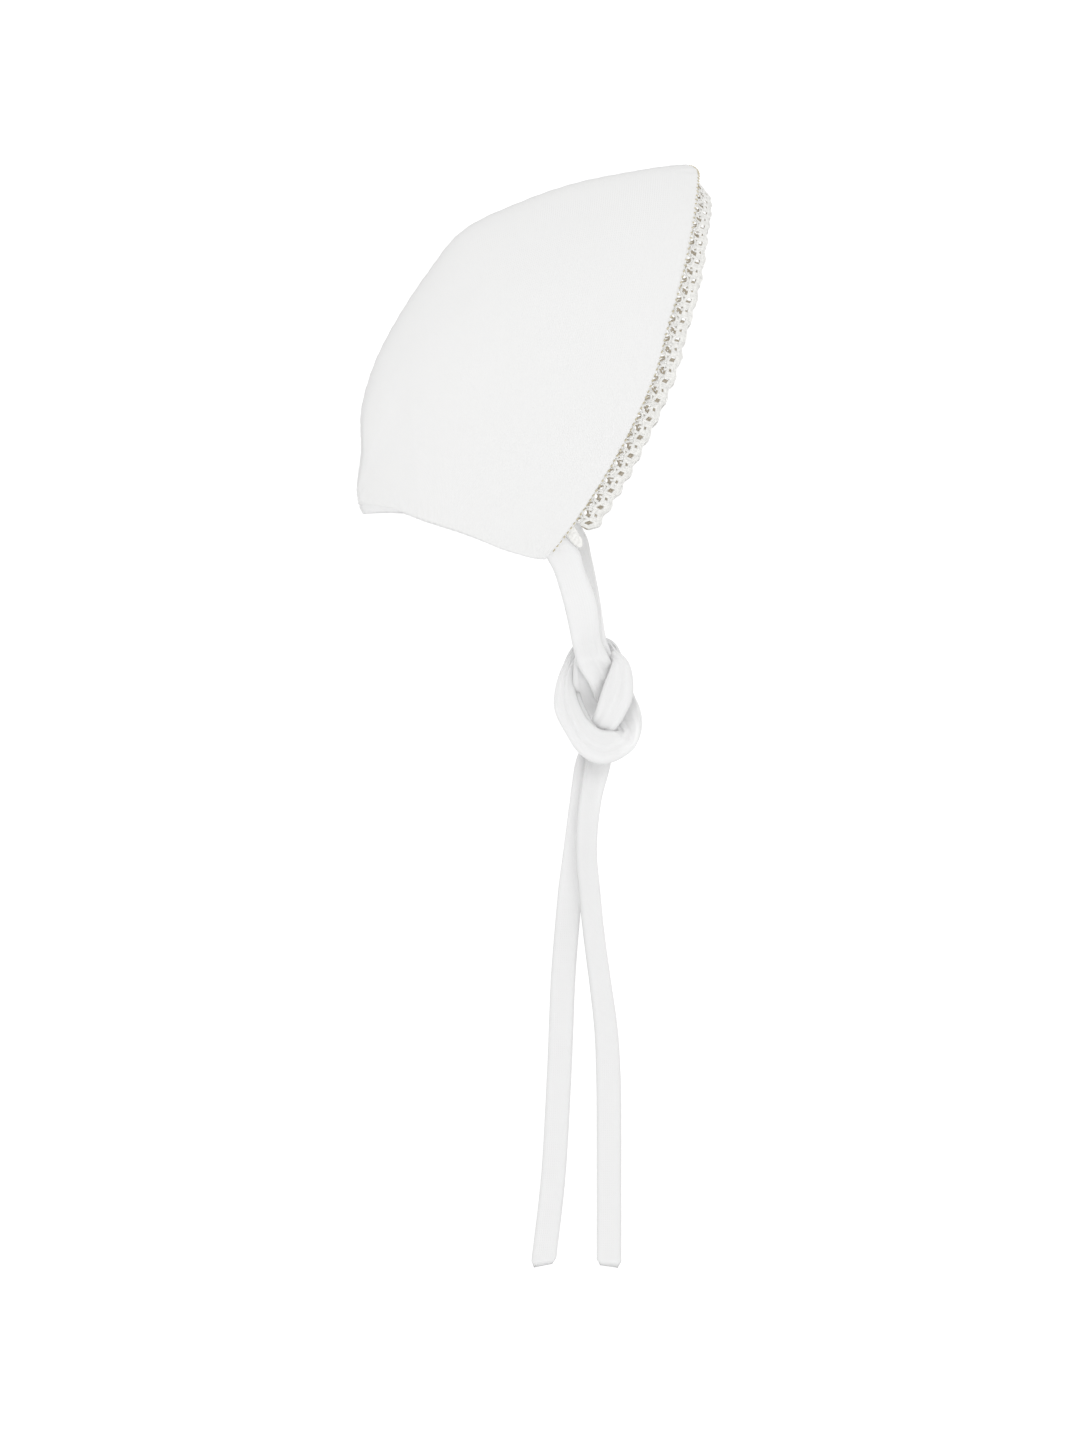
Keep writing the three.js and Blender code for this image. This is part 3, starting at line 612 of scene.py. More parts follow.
# The doubled band round the knot: a is the edge beside the knot's hole and b the outer edge, in shares of
# KNOT_SIZE, and part is how far the near tie lies beside the far one, as a share of STRAP_WIDTH.
KNOT = [
    {"a": (-0.262, -0.50, 0.445), "b": (0.075, -0.50, 0.500), "part": -0.09},
    {"a": (-0.215, -0.52, 0.305), "b": (0.145, -0.46, 0.375), "part": -0.07},
    {"a": (-0.110, -0.42, 0.148), "b": (0.235, 0.10, 0.235)},
    {"a": (-0.006, 0.08, -0.008), "b": (0.390, 0.50, 0.102)},
    {"a": (0.099, 0.40, -0.148), "b": (0.483, 0.12, -0.039)},
    {"a": (0.230, 0.10, -0.225), "b": (0.505, -0.12, -0.190)},
    {"a": (0.185, -0.22, -0.225), "b": (0.430, -0.28, -0.345)},
    {"a": (0.140, -0.42, -0.215), "b": (0.245, -0.42, -0.440)},
    {"a": (0.040, -0.52, -0.205), "b": (0.029, -0.52, -0.477)},
    {"a": (-0.087, -0.50, -0.125), "b": (-0.180, -0.50, -0.398), "part": 0.06},
    {"a": (-0.180, -0.35, -0.008), "b": (-0.355, -0.30, -0.227), "part": 0.06},
    {"a": (-0.238, -0.10, 0.117), "b": (-0.483, -0.05, -0.039), "part": 0.06},
    {"a": (-0.262, 0.10, 0.242), "b": (-0.465, 0.05, 0.148), "part": 0.06},
    {"a": (-0.227, 0.30, 0.336), "b": (-0.365, 0.22, 0.350)},
    {"a": (-0.110, 0.38, 0.336), "b": (-0.215, 0.36, 0.490)},
    {"a": (0.030, 0.40, 0.300), "b": (-0.040, 0.38, 0.520)},
    {"a": (0.130, 0.20, 0.290), "b": (0.135, 0.18, 0.495)},
    {"a": (0.170, -0.18, 0.310), "b": (0.262, -0.14, 0.392)},
    {"a": (0.150, -0.42, 0.280), "b": (0.365, -0.30, 0.300)},
    {"a": (0.100, -0.48, 0.195), "b": (0.410, -0.42, 0.180)},
    {"a": (0.045, -0.48, 0.095), "b": (0.400, -0.48, 0.030)},
    {"a": (-0.017, -0.43, -0.039), "b": (0.285, -0.40, -0.133)},
    {"a": (-0.080, -0.10, -0.164), "b": (0.155, -0.10, -0.255)},
    {"a": (-0.134, 0.52, -0.305), "b": (0.120, 0.52, -0.359), "part": 0.10},
    {"a": (-0.192, 0.45, -0.445), "b": (0.099, 0.45, -0.461), "part": 0.20},
]
# In the knot's hole the far tie is spread out behind the near one, by shares of STRAP_WIDTH, and sinks back.
SPREAD = {1: 0.30, 2: 0.62, 3: 0.66, 4: 0.25}
SPREAD_SINK = 0.55
# down is a share of TAIL_LENGTH, the middles are shares of TAIL_SPREAD, apart of TIE_CLOTH, twist degrees
TAILS = [
    {"down": 0.075, RIGHT: -0.113, LEFT: -0.238, "apart": 1.8, "twist": 22},
    {"down": 0.174, RIGHT: -0.175, LEFT: -0.338, "apart": 2.6, "twist": 32},
    {"down": 0.253, RIGHT: -0.128, LEFT: -0.420, "apart": 2.6, "twist": 30},
    {"down": 0.333, RIGHT: -0.066, LEFT: -0.478, "apart": 2.4, "twist": 30},
    {"down": 0.432, RIGHT: 0.036, LEFT: -0.538, "apart": 1.6, "twist": 28},
    {"down": 0.531, RIGHT: 0.133, LEFT: -0.570, "apart": 1.0, "twist": 18},
    {"down": 0.630, RIGHT: 0.172, LEFT: -0.602, "apart": 0.8, "twist": 4},
    {"down": 0.828, RIGHT: 0.180, LEFT: -0.695, "apart": 0.4, "twist": 0},
    {"down": 1.000, RIGHT: 0.180, LEFT: -0.850, "apart": 0, "twist": 0},
]


def folded_edge(side, down, depth):
    """A place under the folded face edge of one panel, with its normal."""
    down = np.asarray(down, float)
    at = np.zeros_like(down)
    normal = cap_normal(at, down)
    point = cap_surface(at, down) - normal * (FACE_HEM + CLEARANCE + depth)
    point[..., 1] = np.where(down <= 0, 0, point[..., 1])
    mirror = np.array([1, side, 1])
    return point * mirror, normal * mirror


def tie_rungs(side):
    """Both edges of one tie, and how far it is raised off the middle of the doubled band."""
    corner = cap_surface(np.array(0.0), np.array(1.0))
    centre = np.array([corner[0] + KNOT_FORWARD, 0, corner[2] - KNOT_DROP])
    seat_share = TIE_WIDTH * SEAT_REACH[side] / (2 * (1 - CROWN_SHARE) * CAP_HEIGHT)
    seat_a, normal = folded_edge(side, 1.0, TIE_CLOTH / 2)
    seat_b = folded_edge(side, 1 - seat_share, TIE_CLOTH / 2)[0]
    lift = (TIE_CLOTH + TIE_STACK_GAP) / 2 * side
    knot = []
    for k, row in enumerate(KNOT):
        a, b = np.array(row["a"]) * KNOT_SIZE + centre, np.array(row["b"]) * KNOT_SIZE + centre
        shift = unit(b - a) * -side * row.get("part", 0) * STRAP_WIDTH
        wide = SPREAD.get(k, 0) * STRAP_WIDTH if side == LEFT else 0
        spread = unit(a - b) * wide + np.array([0, SPREAD_SINK * wide, 0])
        knot.append((a + shift + spread, b + shift, lift))
    entry = [knot[0][k] + np.array([0, lift, 0]) for k in (0, 1)]
    run = entry[0] - seat_a
    run = unit(run - normal * (run @ normal))
    rungs = [(seat_a - run * TIE_TUCK, seat_b - run * TIE_TUCK, 0), (seat_a, seat_b, 0)]
    for row in DROPS:
        way = row["down"]
        a, b = (start + (end - start) * way for start, end in zip((seat_a, seat_b), entry))
        inward = 1 - (1 - way) ** 2
        a[1] = seat_a[1] + (entry[0][1] - seat_a[1]) * inward
        b[1] = seat_b[1] + (entry[1][1] - seat_b[1]) * inward
        swing_a, swing_b = (np.array([share * TIE_WIDTH, 0, 0]) for share in row[side])
        rungs.append((a + swing_a, b + swing_b, 0))
    rungs += knot
    bottom = (knot[-1][0][2] + knot[-1][1][2]) / 2
    for row in TAILS:
        turn = math.radians(row["twist"]) if side == RIGHT else 0
        half = np.array([math.cos(turn), math.sin(turn), 0]) * STRAP_WIDTH / 2
        middle = np.array([
            centre[0] + row[side] * TAIL_SPREAD,
            side * row["apart"] * TIE_CLOTH / 2,
            bottom - row["down"] * TAIL_LENGTH,
        ])
        rungs.append((middle - half, middle + half, 0))
    return centre, [np.array(part) for part in zip(*rungs)]


def round_end(away):
    """Thickness of a rounded end, as a share, where away is the way from the end in shares of its radius."""
    return np.sqrt(np.clip(1 - np.clip(1 - away, 0, 1) ** 2, 0, 1))


TIE_STEPS_PER_RUNG = 14
TIE_COLUMNS = 26
KNOT_FIRST = 2 + len(DROPS)
KNOT_LAST = KNOT_FIRST + len(KNOT) - 1
CROWNING = 1.1 * MM
GATHER = 0.20 * MM
END_CORNER = 2.2 * MM
END_SKEW = {RIGHT: 0.5 * MM, LEFT: -0.7 * MM}
END_SKEW_LENGTH = 12 * MM
END_ROUND = 0.7 * MM
# Painted shade along both strap edges, taken off the ties' painted light and shade.
STRAP_EDGE_PAINTED_SHADE = 1.6
# painted light and shade, by rungs down each tie: painted light in the knot's folds, in its hole and on the
# far tie's shaded top, painted shade where the tails hang free
PAINTED_LIGHT_AND_SHADE_BY_RUNG = {
    RIGHT: [
        (0, -0.2), (KNOT_FIRST + 3, 0), (KNOT_FIRST + 4, 1.2), (KNOT_FIRST + 5, 1.2), (KNOT_FIRST + 7, 0),
        (KNOT_LAST, 0), (KNOT_LAST + 2, -0.55),
    ],
    LEFT: [
        (0, 1.4), (3, 1.3), (KNOT_FIRST, 0.3), (KNOT_FIRST + 1, 0.3), (KNOT_FIRST + 3, 1),
        (KNOT_FIRST + 4, 1.2), (KNOT_FIRST + 5, 1.2), (KNOT_FIRST + 7, 0), (KNOT_LAST + 2, 0),
        (KNOT_LAST + 4, -0.55),
    ],
}
tie_jersey = jersey("tie_jersey", (0.832, 0.832, 0.832), wale=0.8 * MM, glow=0.4)
for side, name in ((RIGHT, "tie_right"), (LEFT, "tie_left")):
    centre, (edge_a, edge_b, lift) = tie_rungs(side)
    count = len(edge_a) - 1
    way = np.linspace(0, 1, count * TIE_STEPS_PER_RUNG + 1)
    a, b = smooth_line(edge_a, way), smooth_line(edge_b, way)
    raised = smooth_line([(k, value, 0) for k, value in enumerate(lift)], way)[:, 1]
    middle = (a + b) / 2
    length = path_lengths(middle)
    run = unit(np.gradient(middle, axis=0))
    across = b - a
    face = unit(np.cross(across, run))
    knotted = smooth_step(way * count, KNOT_FIRST - 1, KNOT_FIRST + 1) * (
        1 - smooth_step(way * count, KNOT_LAST - 1, KNOT_LAST + 1)
    )
    bulge = CROWNING * knotted * np.tanh(((middle - centre) * face).sum(-1) / (2.5 * MM))
    share = 0.5 - 0.5 * np.cos(np.linspace(0, np.pi, TIE_COLUMNS))
    edgeness = 2 * share - 1
    to_end = length[-1] - length
    corner = np.clip(1 - to_end / END_CORNER, 0, 1)
    slim = 1 - (1 - np.sqrt(1 - 0.96 * corner**2)) * 0.36
    s = 0.5 + (share[None] - 0.5) * slim[:, None]
    fold_waves = np.sin(share[None] * 15 + 2.2 * np.sin(way[:, None] * 17 + side)) + 0.6 * np.sin(
        share[None] * 27 - 3 * np.sin(way[:, None] * 23)
    )
    loose = 0.12 * np.sin(length[:, None] / (9 * MM) + 3 * share[None]) * (1 - knotted[:, None])
    sway = GATHER * (fold_waves * knotted[:, None] + loose) * (1 - edgeness[None] ** 4)
    half = TIE_CLOTH / 2 * (1 - np.abs(edgeness[None]) ** 7) ** 0.5
    half = half * round_end(to_end / END_ROUND)[:, None]
    half = half * round_end(length / END_ROUND)[:, None]
    skew = END_SKEW[side] * smooth_step(length, length[-1] - END_SKEW_LENGTH, length[-1])
    base = a[:, None] + across[:, None] * s[..., None]
    base = base + run[:, None] * (skew[:, None] * edgeness[None])[..., None]
    lifted = raised[:, None] + bulge[:, None] * (1 - edgeness[None] ** 2) + sway
    front = base + face[:, None] * (lifted + half)[..., None]
    back = base + face[:, None] * (lifted - half)[..., None]
    uv = np.stack(np.broadcast_arrays(share[None] * STRAP_WIDTH, length[:, None]), axis=-1)
    # Painted light and shade per point: the rung table, with painted shade toward both strap edges.
    white = np.interp(way * count, *zip(*PAINTED_LIGHT_AND_SHADE_BY_RUNG[side]))[:, None] - STRAP_EDGE_PAINTED_SHADE * np.abs(edgeness) ** 9
    tie = grid_mesh(name + "_strap", [front, back], [uv, uv], tie_jersey, [white, white])
    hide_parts(name)
    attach(tie, "root")

# Lace edging: a narrow cotton crochet strip, one motif repeated round the face. A header is sewn under the
# folded edge; then come small buds, each in a fan, a dense middle, an open row and a ribbed scalloped border.
LACE_WIDTH = 8.4 * MM
LACE_PITCH = 8.6 * MM
LACE_SCALLOP = 0.9 * MM
LACE_DROOP = math.radians(58)
LACE_END = 0.93
LACE_FLATNESS = 0.5
LACE_UNEVENNESS = 0.7 * MM
THREAD_RIB = 0.42 * MM
# how fully the lace is spread out, down the face edge
LACE_SPREAD = [
    (0, 1.22), (0.19, 1.15), (0.28, 1.0), (0.42, 1.15), (0.55, 1.22), (0.73, 1.22), (0.93, 1.48),
]
# One motif laid flat, in millimetres: along the strip, out from the fabric edge, up from the strip, with
# the thickness of the thread.
LACE_THREADS = [
    {"radius": 0.50, "through": [(0, -1.45, 0), (4.3, -1.45, 0), (8.6, -1.45, 0)]},
    {"radius": 0.50, "through": [(0, -0.55, 0), (4.3, -0.55, 0), (8.6, -0.55, 0)]},
    {"radius": 0.50, "through": [(0, 0.25, 0), (4.3, 0.30, 0), (8.6, 0.25, 0)]},
    {"radius": 0.42, "through": [
        (0.0, 0.2, 0), (0.15, 1.7, 0), (1.0, 2.95, 0), (2.5, 3.15, 0), (3.75, 2.2, 0), (3.9, 0.3, 0),
    ]},
    {"radius": 0.58, "through": [(2.5, 0.3, 0), (2.35, 1.15, 0)]},
    {"radius": 0.48, "through": [
        (4.3, 3.6, 0), (4.75, 2.3, 0), (6.1, 1.55, 0), (7.6, 2.2, 0), (8.2, 3.6, 0),
    ]},
    {"radius": 0.36, "through": [(6.15, 0.3, 0), (6.1, 1.5, 0)]},
    {"radius": 0.55, "through": [(6.9, 4.5, 0), (6.6, 3.5, 0)]},
    {"radius": 0.62, "through": [(4.15, 2.6, 0), (4.0, 4.2, 0)]},
    {"radius": 0.62, "through": [(8.45, 2.6, 0), (8.55, 4.2, 0)]},
    {"radius": 0.62, "through": [
        (0, 4.3, 0), (1.9, 4.0, 0), (3.4, 4.3, 0), (4.6, 4.75, 0), (6.3, 4.85, 0), (7.6, 4.7, 0),
        (8.6, 4.3, 0),
    ]},
    {"radius": 0.50, "through": [(0, 6.65, 0), (4.3, 6.70, 0), (8.6, 6.65, 0)]},
    {"radius": 0.45, "through": [(0, 7.35, 0), (4.3, 7.38, 0), (8.6, 7.35, 0)]},
    {"radius": 0.34, "through": [(0, 8.02, 0), (4.3, 8.05, 0), (8.6, 8.02, 0)]},
]
LACE_BARS = [
    {"from": 0.3, "to": 1.05, "radius": 0.30, "rise": 0, "places": [4.95, 7.5]},
    {"from": 4.3, "to": 6.7, "radius": 0.56, "rise": 0, "places": [0.1, 1.05, 4.0, 4.9, 5.8, 8.0]},
    {"from": 6.6, "to": 8.3, "radius": 0.18, "rise": 0.45, "places": [0.43 + 0.86 * k for k in range(10)]},
]


def thread_points(through, step):
    """Soft route through given places, in metres."""
    rough = np.array(through) * MM
    steps = max(2, round(path_lengths(rough)[-1] / step))
    return smooth_line(rough, np.linspace(0, 1, steps + 1))


motif_curve = bpy.data.curves.new("lace_motif", "CURVE")
motif_curve.dimensions = "3D"
motif_threads = [(t["through"], t["radius"]) for t in LACE_THREADS]
for bar in LACE_BARS:
    for place in bar["places"]:
        rise = bar["rise"]
        ends = [(place, bar["from"], 0.3 * rise), (place, (bar["from"] + bar["to"]) / 2, rise)]
        motif_threads.append((ends + [(place, bar["to"], 0.3 * rise)], bar["radius"]))
for through, radius in motif_threads:
    points = thread_points(through, 0.5 * MM)
    spline = motif_curve.splines.new("POLY")
    spline.points.add(len(points) - 1)
    for target, point in zip(spline.points, points):
        target.co = (*point, 1)
        target.radius = radius * MM
motif = bpy.data.objects.new("lace_motif", motif_curve)
scene.collection.objects.link(motif)

# The guide runs under the folded edge, from the near lower corner over the head to the far one.
EDGE_STEPS = 400
edge_down = np.linspace(0, LACE_END, EDGE_STEPS)
EDGE_SIDE_LENGTH = path_lengths(cap_surface(0 * edge_down, edge_down))[-1]
LACE_REPEATS = round(2 * EDGE_SIDE_LENGTH / LACE_PITCH)


def lace_frames(side, down):
    point, normal = folded_edge(side, down, LACE_PITCH * 0.06)
    ahead = cap_surface(0 * down, down) - cap_surface(0 * down + 0.01, down)
    fall = unit(
        cap_surface(0 * down, np.minimum(down + 0.01, 1)) - cap_surface(0 * down, np.maximum(down - 0.01, 0))
    )
    ahead = unit(ahead - fall * (ahead * fall).sum(-1, keepdims=True)) * np.array([1, side, 1])
    droop = (LACE_DROOP * np.exp(-((down / 0.3) ** 2)))[:, None]
    spread = np.interp(down, *zip(*LACE_SPREAD))[:, None]
    outward = (ahead * np.cos(droop) - normal * np.sin(droop)) * spread
    rise = normal * np.cos(droop) + ahead * np.sin(droop)
    return [point, ahead, outward, rise]


def round_the_face(parts_at, down):
    """What parts_at gives for both sides, joined into one run from the near corner to the far one."""
    near = [part[::-1] for part in parts_at(RIGHT, down)]
    far = [part[1:] for part in parts_at(LEFT, down)]
    return [np.concatenate(pair) for pair in zip(near, far)]


def guide_object(name, points, directions):
    """A line of points that carries directions for a node group to follow."""
    mesh = bpy.data.meshes.new(name)
    mesh.from_pydata(points.tolist(), [(k, k + 1) for k in range(len(points) - 1)], [])
    for label, values in directions.items():
        attribute = mesh.attributes.new(label, "FLOAT_VECTOR", "POINT")
        attribute.data.foreach_set("vector", values.astype(np.float32).ravel())
    guide = bpy.data.objects.new(name, mesh)
    scene.collection.objects.link(guide)
    return guide


points, *directions = round_the_face(lace_frames, edge_down)
lace = guide_object("lace_strip", points, dict(zip(("ahead", "outward", "rise"), directions)))


def thread_material():
    """Off-white cotton thread with fine cross ribs; its inward side is painted a warm tan as painted shade,
    and the ribs are painted a little lighter on their crests and darker in their troughs.
    """
    material, tree = new_material("lace_cotton")
    inward = add_node(tree, "ShaderNodeAttribute", attribute_name="inward")
    # Painted shade: the inward side of each thread turns warm tan, so the far lace seen through the holes
    # looks shaded.
    tones = {"Factor": inward.outputs["Fac"], "A": (0.90, 0.895, 0.87, 1), "B": (0.58, 0.51, 0.40, 1)}
    tone = add_node(tree, "ShaderNodeMix", tones, data_type="RGBA")
    route = add_node(tree, "ShaderNodeAttribute", attribute_name="thread_run")
    ribs = calc(tree, "SINE", calc(tree, "MULTIPLY", route.outputs["Fac"], 2 * math.pi / THREAD_RIB))
    place = add_node(tree, "ShaderNodeTexCoord")
    wear = add_node(
        tree, "ShaderNodeTexNoise", {"Vector": place.outputs["Object"], "Scale": 900.0, "Detail": 3.0}
    )
    grey = calc(tree, "MULTIPLY", calc(tree, "SUBTRACT", wear.outputs["Fac"], 0.62), 0.5)
    # Painted light and shade of the ribs along the thread; the wear spots are random.
    grey = calc(tree, "ADD", calc(tree, "MULTIPLY", ribs, 0.03), calc(tree, "MINIMUM", grey, 0.0))
    fill_inputs(tree, tree.nodes["Principled BSDF"], {
        "Base Color": shaded_colour(tree, tone.outputs["Result"], calc(tree, "ADD", grey, 1.0)),
        "Roughness": 0.8,
        "Specular IOR Level": 0.2,
        "Normal": bumped_normal(tree, ribs, 0.35, 0.1 * MM),
    })
    return material


def calc_vector(tree, operation, vector, other):
    other_input = "Scale" if operation == "SCALE" else 1
    values = {0: vector, other_input: other}
    return add_node(tree, "ShaderNodeVectorMath", values, operation=operation).outputs[0]


def mark_points(tree, geometry, name, value):
    """Keeps a value with each point, for the material to read."""
    inputs = {"Geometry": geometry, "Name": name, "Value": value}
    settings = {"data_type": "FLOAT", "domain": "POINT"}
    return add_node(tree, "GeometryNodeStoreNamedAttribute", inputs, **settings).outputs[0]


def guide_direction(tree, name):
    node = add_node(tree, "GeometryNodeInputNamedAttribute", {"Name": name}, data_type="FLOAT_VECTOR")
    return node.outputs["Attribute"]


def finish_group(tree, geometry, material):
    """Smooth shading and one material on all that a node group makes."""
    soft = add_node(tree, "GeometryNodeSetShadeSmooth", {"Geometry": geometry})
    done = add_node(
        tree, "GeometryNodeSetMaterial", {"Geometry": soft.outputs[0], "Material": material}
    )
    tree.links.new(done.outputs[0], add_node(tree, "NodeGroupOutput").inputs["Geometry"])
    return tree


def lace_group():
    """Repeats a flat motif of threads and lays the strip along the guide."""
    tree, given = node_group(
        "lace_along_edge", "GeometryNodeTree",
        {
            "Geometry": "Geometry", "Motif": "Object", "Repeats": "Int", "Pitch": "Float", "Width": "Float",
            "Scallop": "Float", "Flatness": "Float", "Unevenness": "Float", "Seed": "Float",
            "Thread": "Material",
        },
        {"Geometry": "Geometry"},
    )
    length = calc(tree, "MULTIPLY", given["Pitch"], given["Repeats"])
    offset = add_node(tree, "ShaderNodeCombineXYZ", {"X": given["Pitch"]})
    line = add_node(tree, "GeometryNodeMeshLine", {"Count": given["Repeats"], "Offset": offset.outputs[0]})
    shape = add_node(
        tree, "GeometryNodeObjectInfo", {"Object": given["Motif"]}, transform_space="ORIGINAL"
    )
    copies = add_node(
        tree, "GeometryNodeInstanceOnPoints",
        {"Points": line.outputs["Mesh"], "Instance": shape.outputs["Geometry"]},
    )
    threads = add_node(tree, "GeometryNodeRealizeInstances", {"Geometry": copies.outputs["Instances"]})
    parameter = add_node(tree, "GeometryNodeSplineParameter")
    routed = mark_points(tree, threads.outputs[0], "thread_run", parameter.outputs["Length"])
    ring = add_node(tree, "GeometryNodeCurvePrimitiveCircle", {"Resolution": 6, "Radius": 1.0})
    tubes = add_node(
        tree, "GeometryNodeCurveToMesh",
        {"Curve": routed, "Profile Curve": ring.outputs["Curve"], "Fill Caps": True},
    )
    if "Scale" in tubes.inputs:
        tree.links.new(add_node(tree, "GeometryNodeInputRadius").outputs[0], tubes.inputs["Scale"])
    place = add_node(tree, "GeometryNodeInputPosition")
    split = add_node(tree, "ShaderNodeSeparateXYZ", {0: place.outputs[0]}).outputs
    # Marks the threads' inward, lower side for the painted tan shade of the lace material.
    inward = ramp(tree, split["Z"], -0.02 * MM, -0.24 * MM, 0.0, 1.0)
    inside = ramp(tree, split["Y"], 7.2 * MM, 7.8 * MM, 1.0, 0.0)
    faced = mark_points(tree, tubes.outputs[0], "inward", calc(tree, "MULTIPLY", inward, inside))
    noise = add_node(
        tree, "ShaderNodeTexNoise",
        {
            "Vector": calc_vector(tree, "MULTIPLY", place.outputs[0], (330.0, 330.0, 330.0)),
            "W": given["Seed"], "Scale": 1.0, "Detail": 1.0,
        },
        noise_dimensions="4D",
    )
    centred = calc_vector(tree, "SUBTRACT", noise.outputs["Color"], (0.5, 0.5, 0.5))
    wander = calc_vector(tree, "SCALE", centred, given["Unevenness"])
    shift = add_node(tree, "ShaderNodeSeparateXYZ", {0: wander}).outputs
    along = calc(tree, "ADD", split["X"], shift["X"])
    turn = calc(tree, "MULTIPLY", calc(tree, "DIVIDE", split["X"], given["Pitch"]), 2 * math.pi)
    dip = calc(tree, "MULTIPLY", calc(tree, "ADD", calc(tree, "COSINE", turn), 1.0), 0.5)
    share = calc(tree, "MAXIMUM", calc(tree, "DIVIDE", split["Y"], given["Width"]), 0.0)
    dip = calc(tree, "MULTIPLY", dip, given["Scallop"])
    dip = calc(tree, "MULTIPLY", dip, calc(tree, "MULTIPLY", share, share))
    to_end = calc(tree, "MINIMUM", split["X"], calc(tree, "SUBTRACT", length, split["X"]))
    rounding = ramp(tree, calc(tree, "DIVIDE", to_end, given["Pitch"]), 0.0, 0.4, 0.82, 1.0)
    level = calc(tree, "SUBTRACT", calc(tree, "ADD", split["Y"], shift["Y"]), dip)
    out_level = calc(tree, "MULTIPLY", calc(tree, "MAXIMUM", level, 0.0), rounding)
    in_level = calc(tree, "MINIMUM", level, 0.0)
    height = calc(tree, "MULTIPLY", split["Z"], given["Flatness"])
    guide = add_node(tree, "GeometryNodeMeshToCurve", {"Mesh": given["Geometry"]})
    factor = calc(tree, "DIVIDE", along, length)
    total = None
    for name, amount in (("ahead", in_level), ("outward", out_level), ("rise", height)):
        sample = add_node(
            tree, "GeometryNodeSampleCurve",
            {"Curves": guide.outputs[0], "Value": guide_direction(tree, name), "Factor": factor},
            mode="FACTOR", data_type="FLOAT_VECTOR",
        )
        part = calc_vector(tree, "SCALE", sample.outputs["Value"], amount)
        base = sample.outputs["Position"] if total is None else total
        total = calc_vector(tree, "ADD", base, part)
    laid = add_node(tree, "GeometryNodeSetPosition", {"Geometry": faced, "Position": total})
    return finish_group(tree, laid.outputs[0], given["Thread"])


def bake_nodes(piece, group, values):
    """Runs a node group on a piece and keeps the result as its own mesh, with its faces outwards."""
    modifier = piece.modifiers.new(group.name, "NODES")
    modifier.node_group = group
    for item in group.interface.items_tree:
        if item.in_out == "INPUT" and item.name in values:
            modifier[item.identifier] = values[item.name]
    evaluated = piece.evaluated_get(bpy.context.evaluated_depsgraph_get())
    mesh = bpy.data.meshes.new_from_object(evaluated)
    piece.modifiers.remove(modifier)
    piece.data = mesh
    work = bmesh.new()
    work.from_mesh(mesh)
    face_outwards(work)
    work.to_mesh(mesh)
    work.free()


lace_cotton = thread_material()
bake_nodes(lace, lace_group(), {
    "Motif": motif,
    "Repeats": LACE_REPEATS,
    "Pitch": LACE_PITCH,
    "Width": LACE_WIDTH,
    "Scallop": LACE_SCALLOP,
    "Flatness": LACE_FLATNESS,
    "Unevenness": LACE_UNEVENNESS,
    "Seed": 3.0,
    "Thread": lace_cotton,
})
bpy.data.objects.remove(motif)
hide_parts("lace_edging")
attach(lace, "root")

# Lace end folds: at each lower corner the end of the lace is turned under beside the tie, as a small plain
# tongue of the dense header.
FOLD_LONG = 12.5 * MM
FOLD_WIDE = 5.2 * MM
FOLD_THICK = 1.2 * MM
FOLD_AT = 0.940
FOLD_SLANT = 0.52
FOLD_UNDER = 0.4 * MM
FOLD_TUCK = 1.5 * MM
FOLD_ROWS = 26
FOLD_COLUMNS = 22
for side, name in ((RIGHT, "lace_end_fold_right"), (LEFT, "lace_end_fold_left")):
    near = np.array([FOLD_AT - 0.004, FOLD_AT, FOLD_AT + 0.004])
    point, normal = folded_edge(side, near, FOLD_UNDER)
    down_edge = unit(point[2] - point[0])
    facing = normal[1]
    ahead = unit(np.cross(down_edge, facing)) * side
    reach = unit(ahead + down_edge * FOLD_SLANT)
    aside = unit(np.cross(reach, facing))
    out = np.linspace(0, 1, FOLD_ROWS)[:, None]
    turn = np.linspace(0, 2 * np.pi, FOLD_COLUMNS)[None]
    narrow = (1 - 0.3 * out) * round_end((1 - out) / 0.3) * round_end(out / 0.06)
    ribs = 1 + 0.10 * np.cos(out * 34) * np.clip(np.sin(turn) ** 2, 0, 1)
    thick = FOLD_THICK / 2 * np.sqrt(narrow) * ribs * (1 + 0.35 * np.cos(2 * turn))
    tongue = (
        point[1] - reach * FOLD_TUCK
        + reach * (out * (FOLD_LONG + FOLD_TUCK))[..., None]
        + aside * (narrow * np.cos(turn) * FOLD_WIDE / 2)[..., None]
        + facing * (thick * np.sin(turn))[..., None]
    )
    uv = np.stack(np.broadcast_arrays(turn * FOLD_WIDE / math.pi, out * FOLD_LONG), axis=-1)
    fold = grid_mesh(name, [tongue], [uv], lace_cotton)
    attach(fold, "root")

# Lace stitching: the header is oversewn to the folded face edge by hand, in short slanting stitches from one
# lower corner over the head to the other; the thread's tan colour is painted shade for the dotted shadows
# between the header's threads.
STITCH_GAP = 2.4 * MM
STITCH_LENGTH = 1.2 * MM
STITCH_THREAD = 0.26 * MM
STITCH_END = 0.985
STITCH_TURN = math.radians(35)
STITCH_LIFT = 0.1 * MM


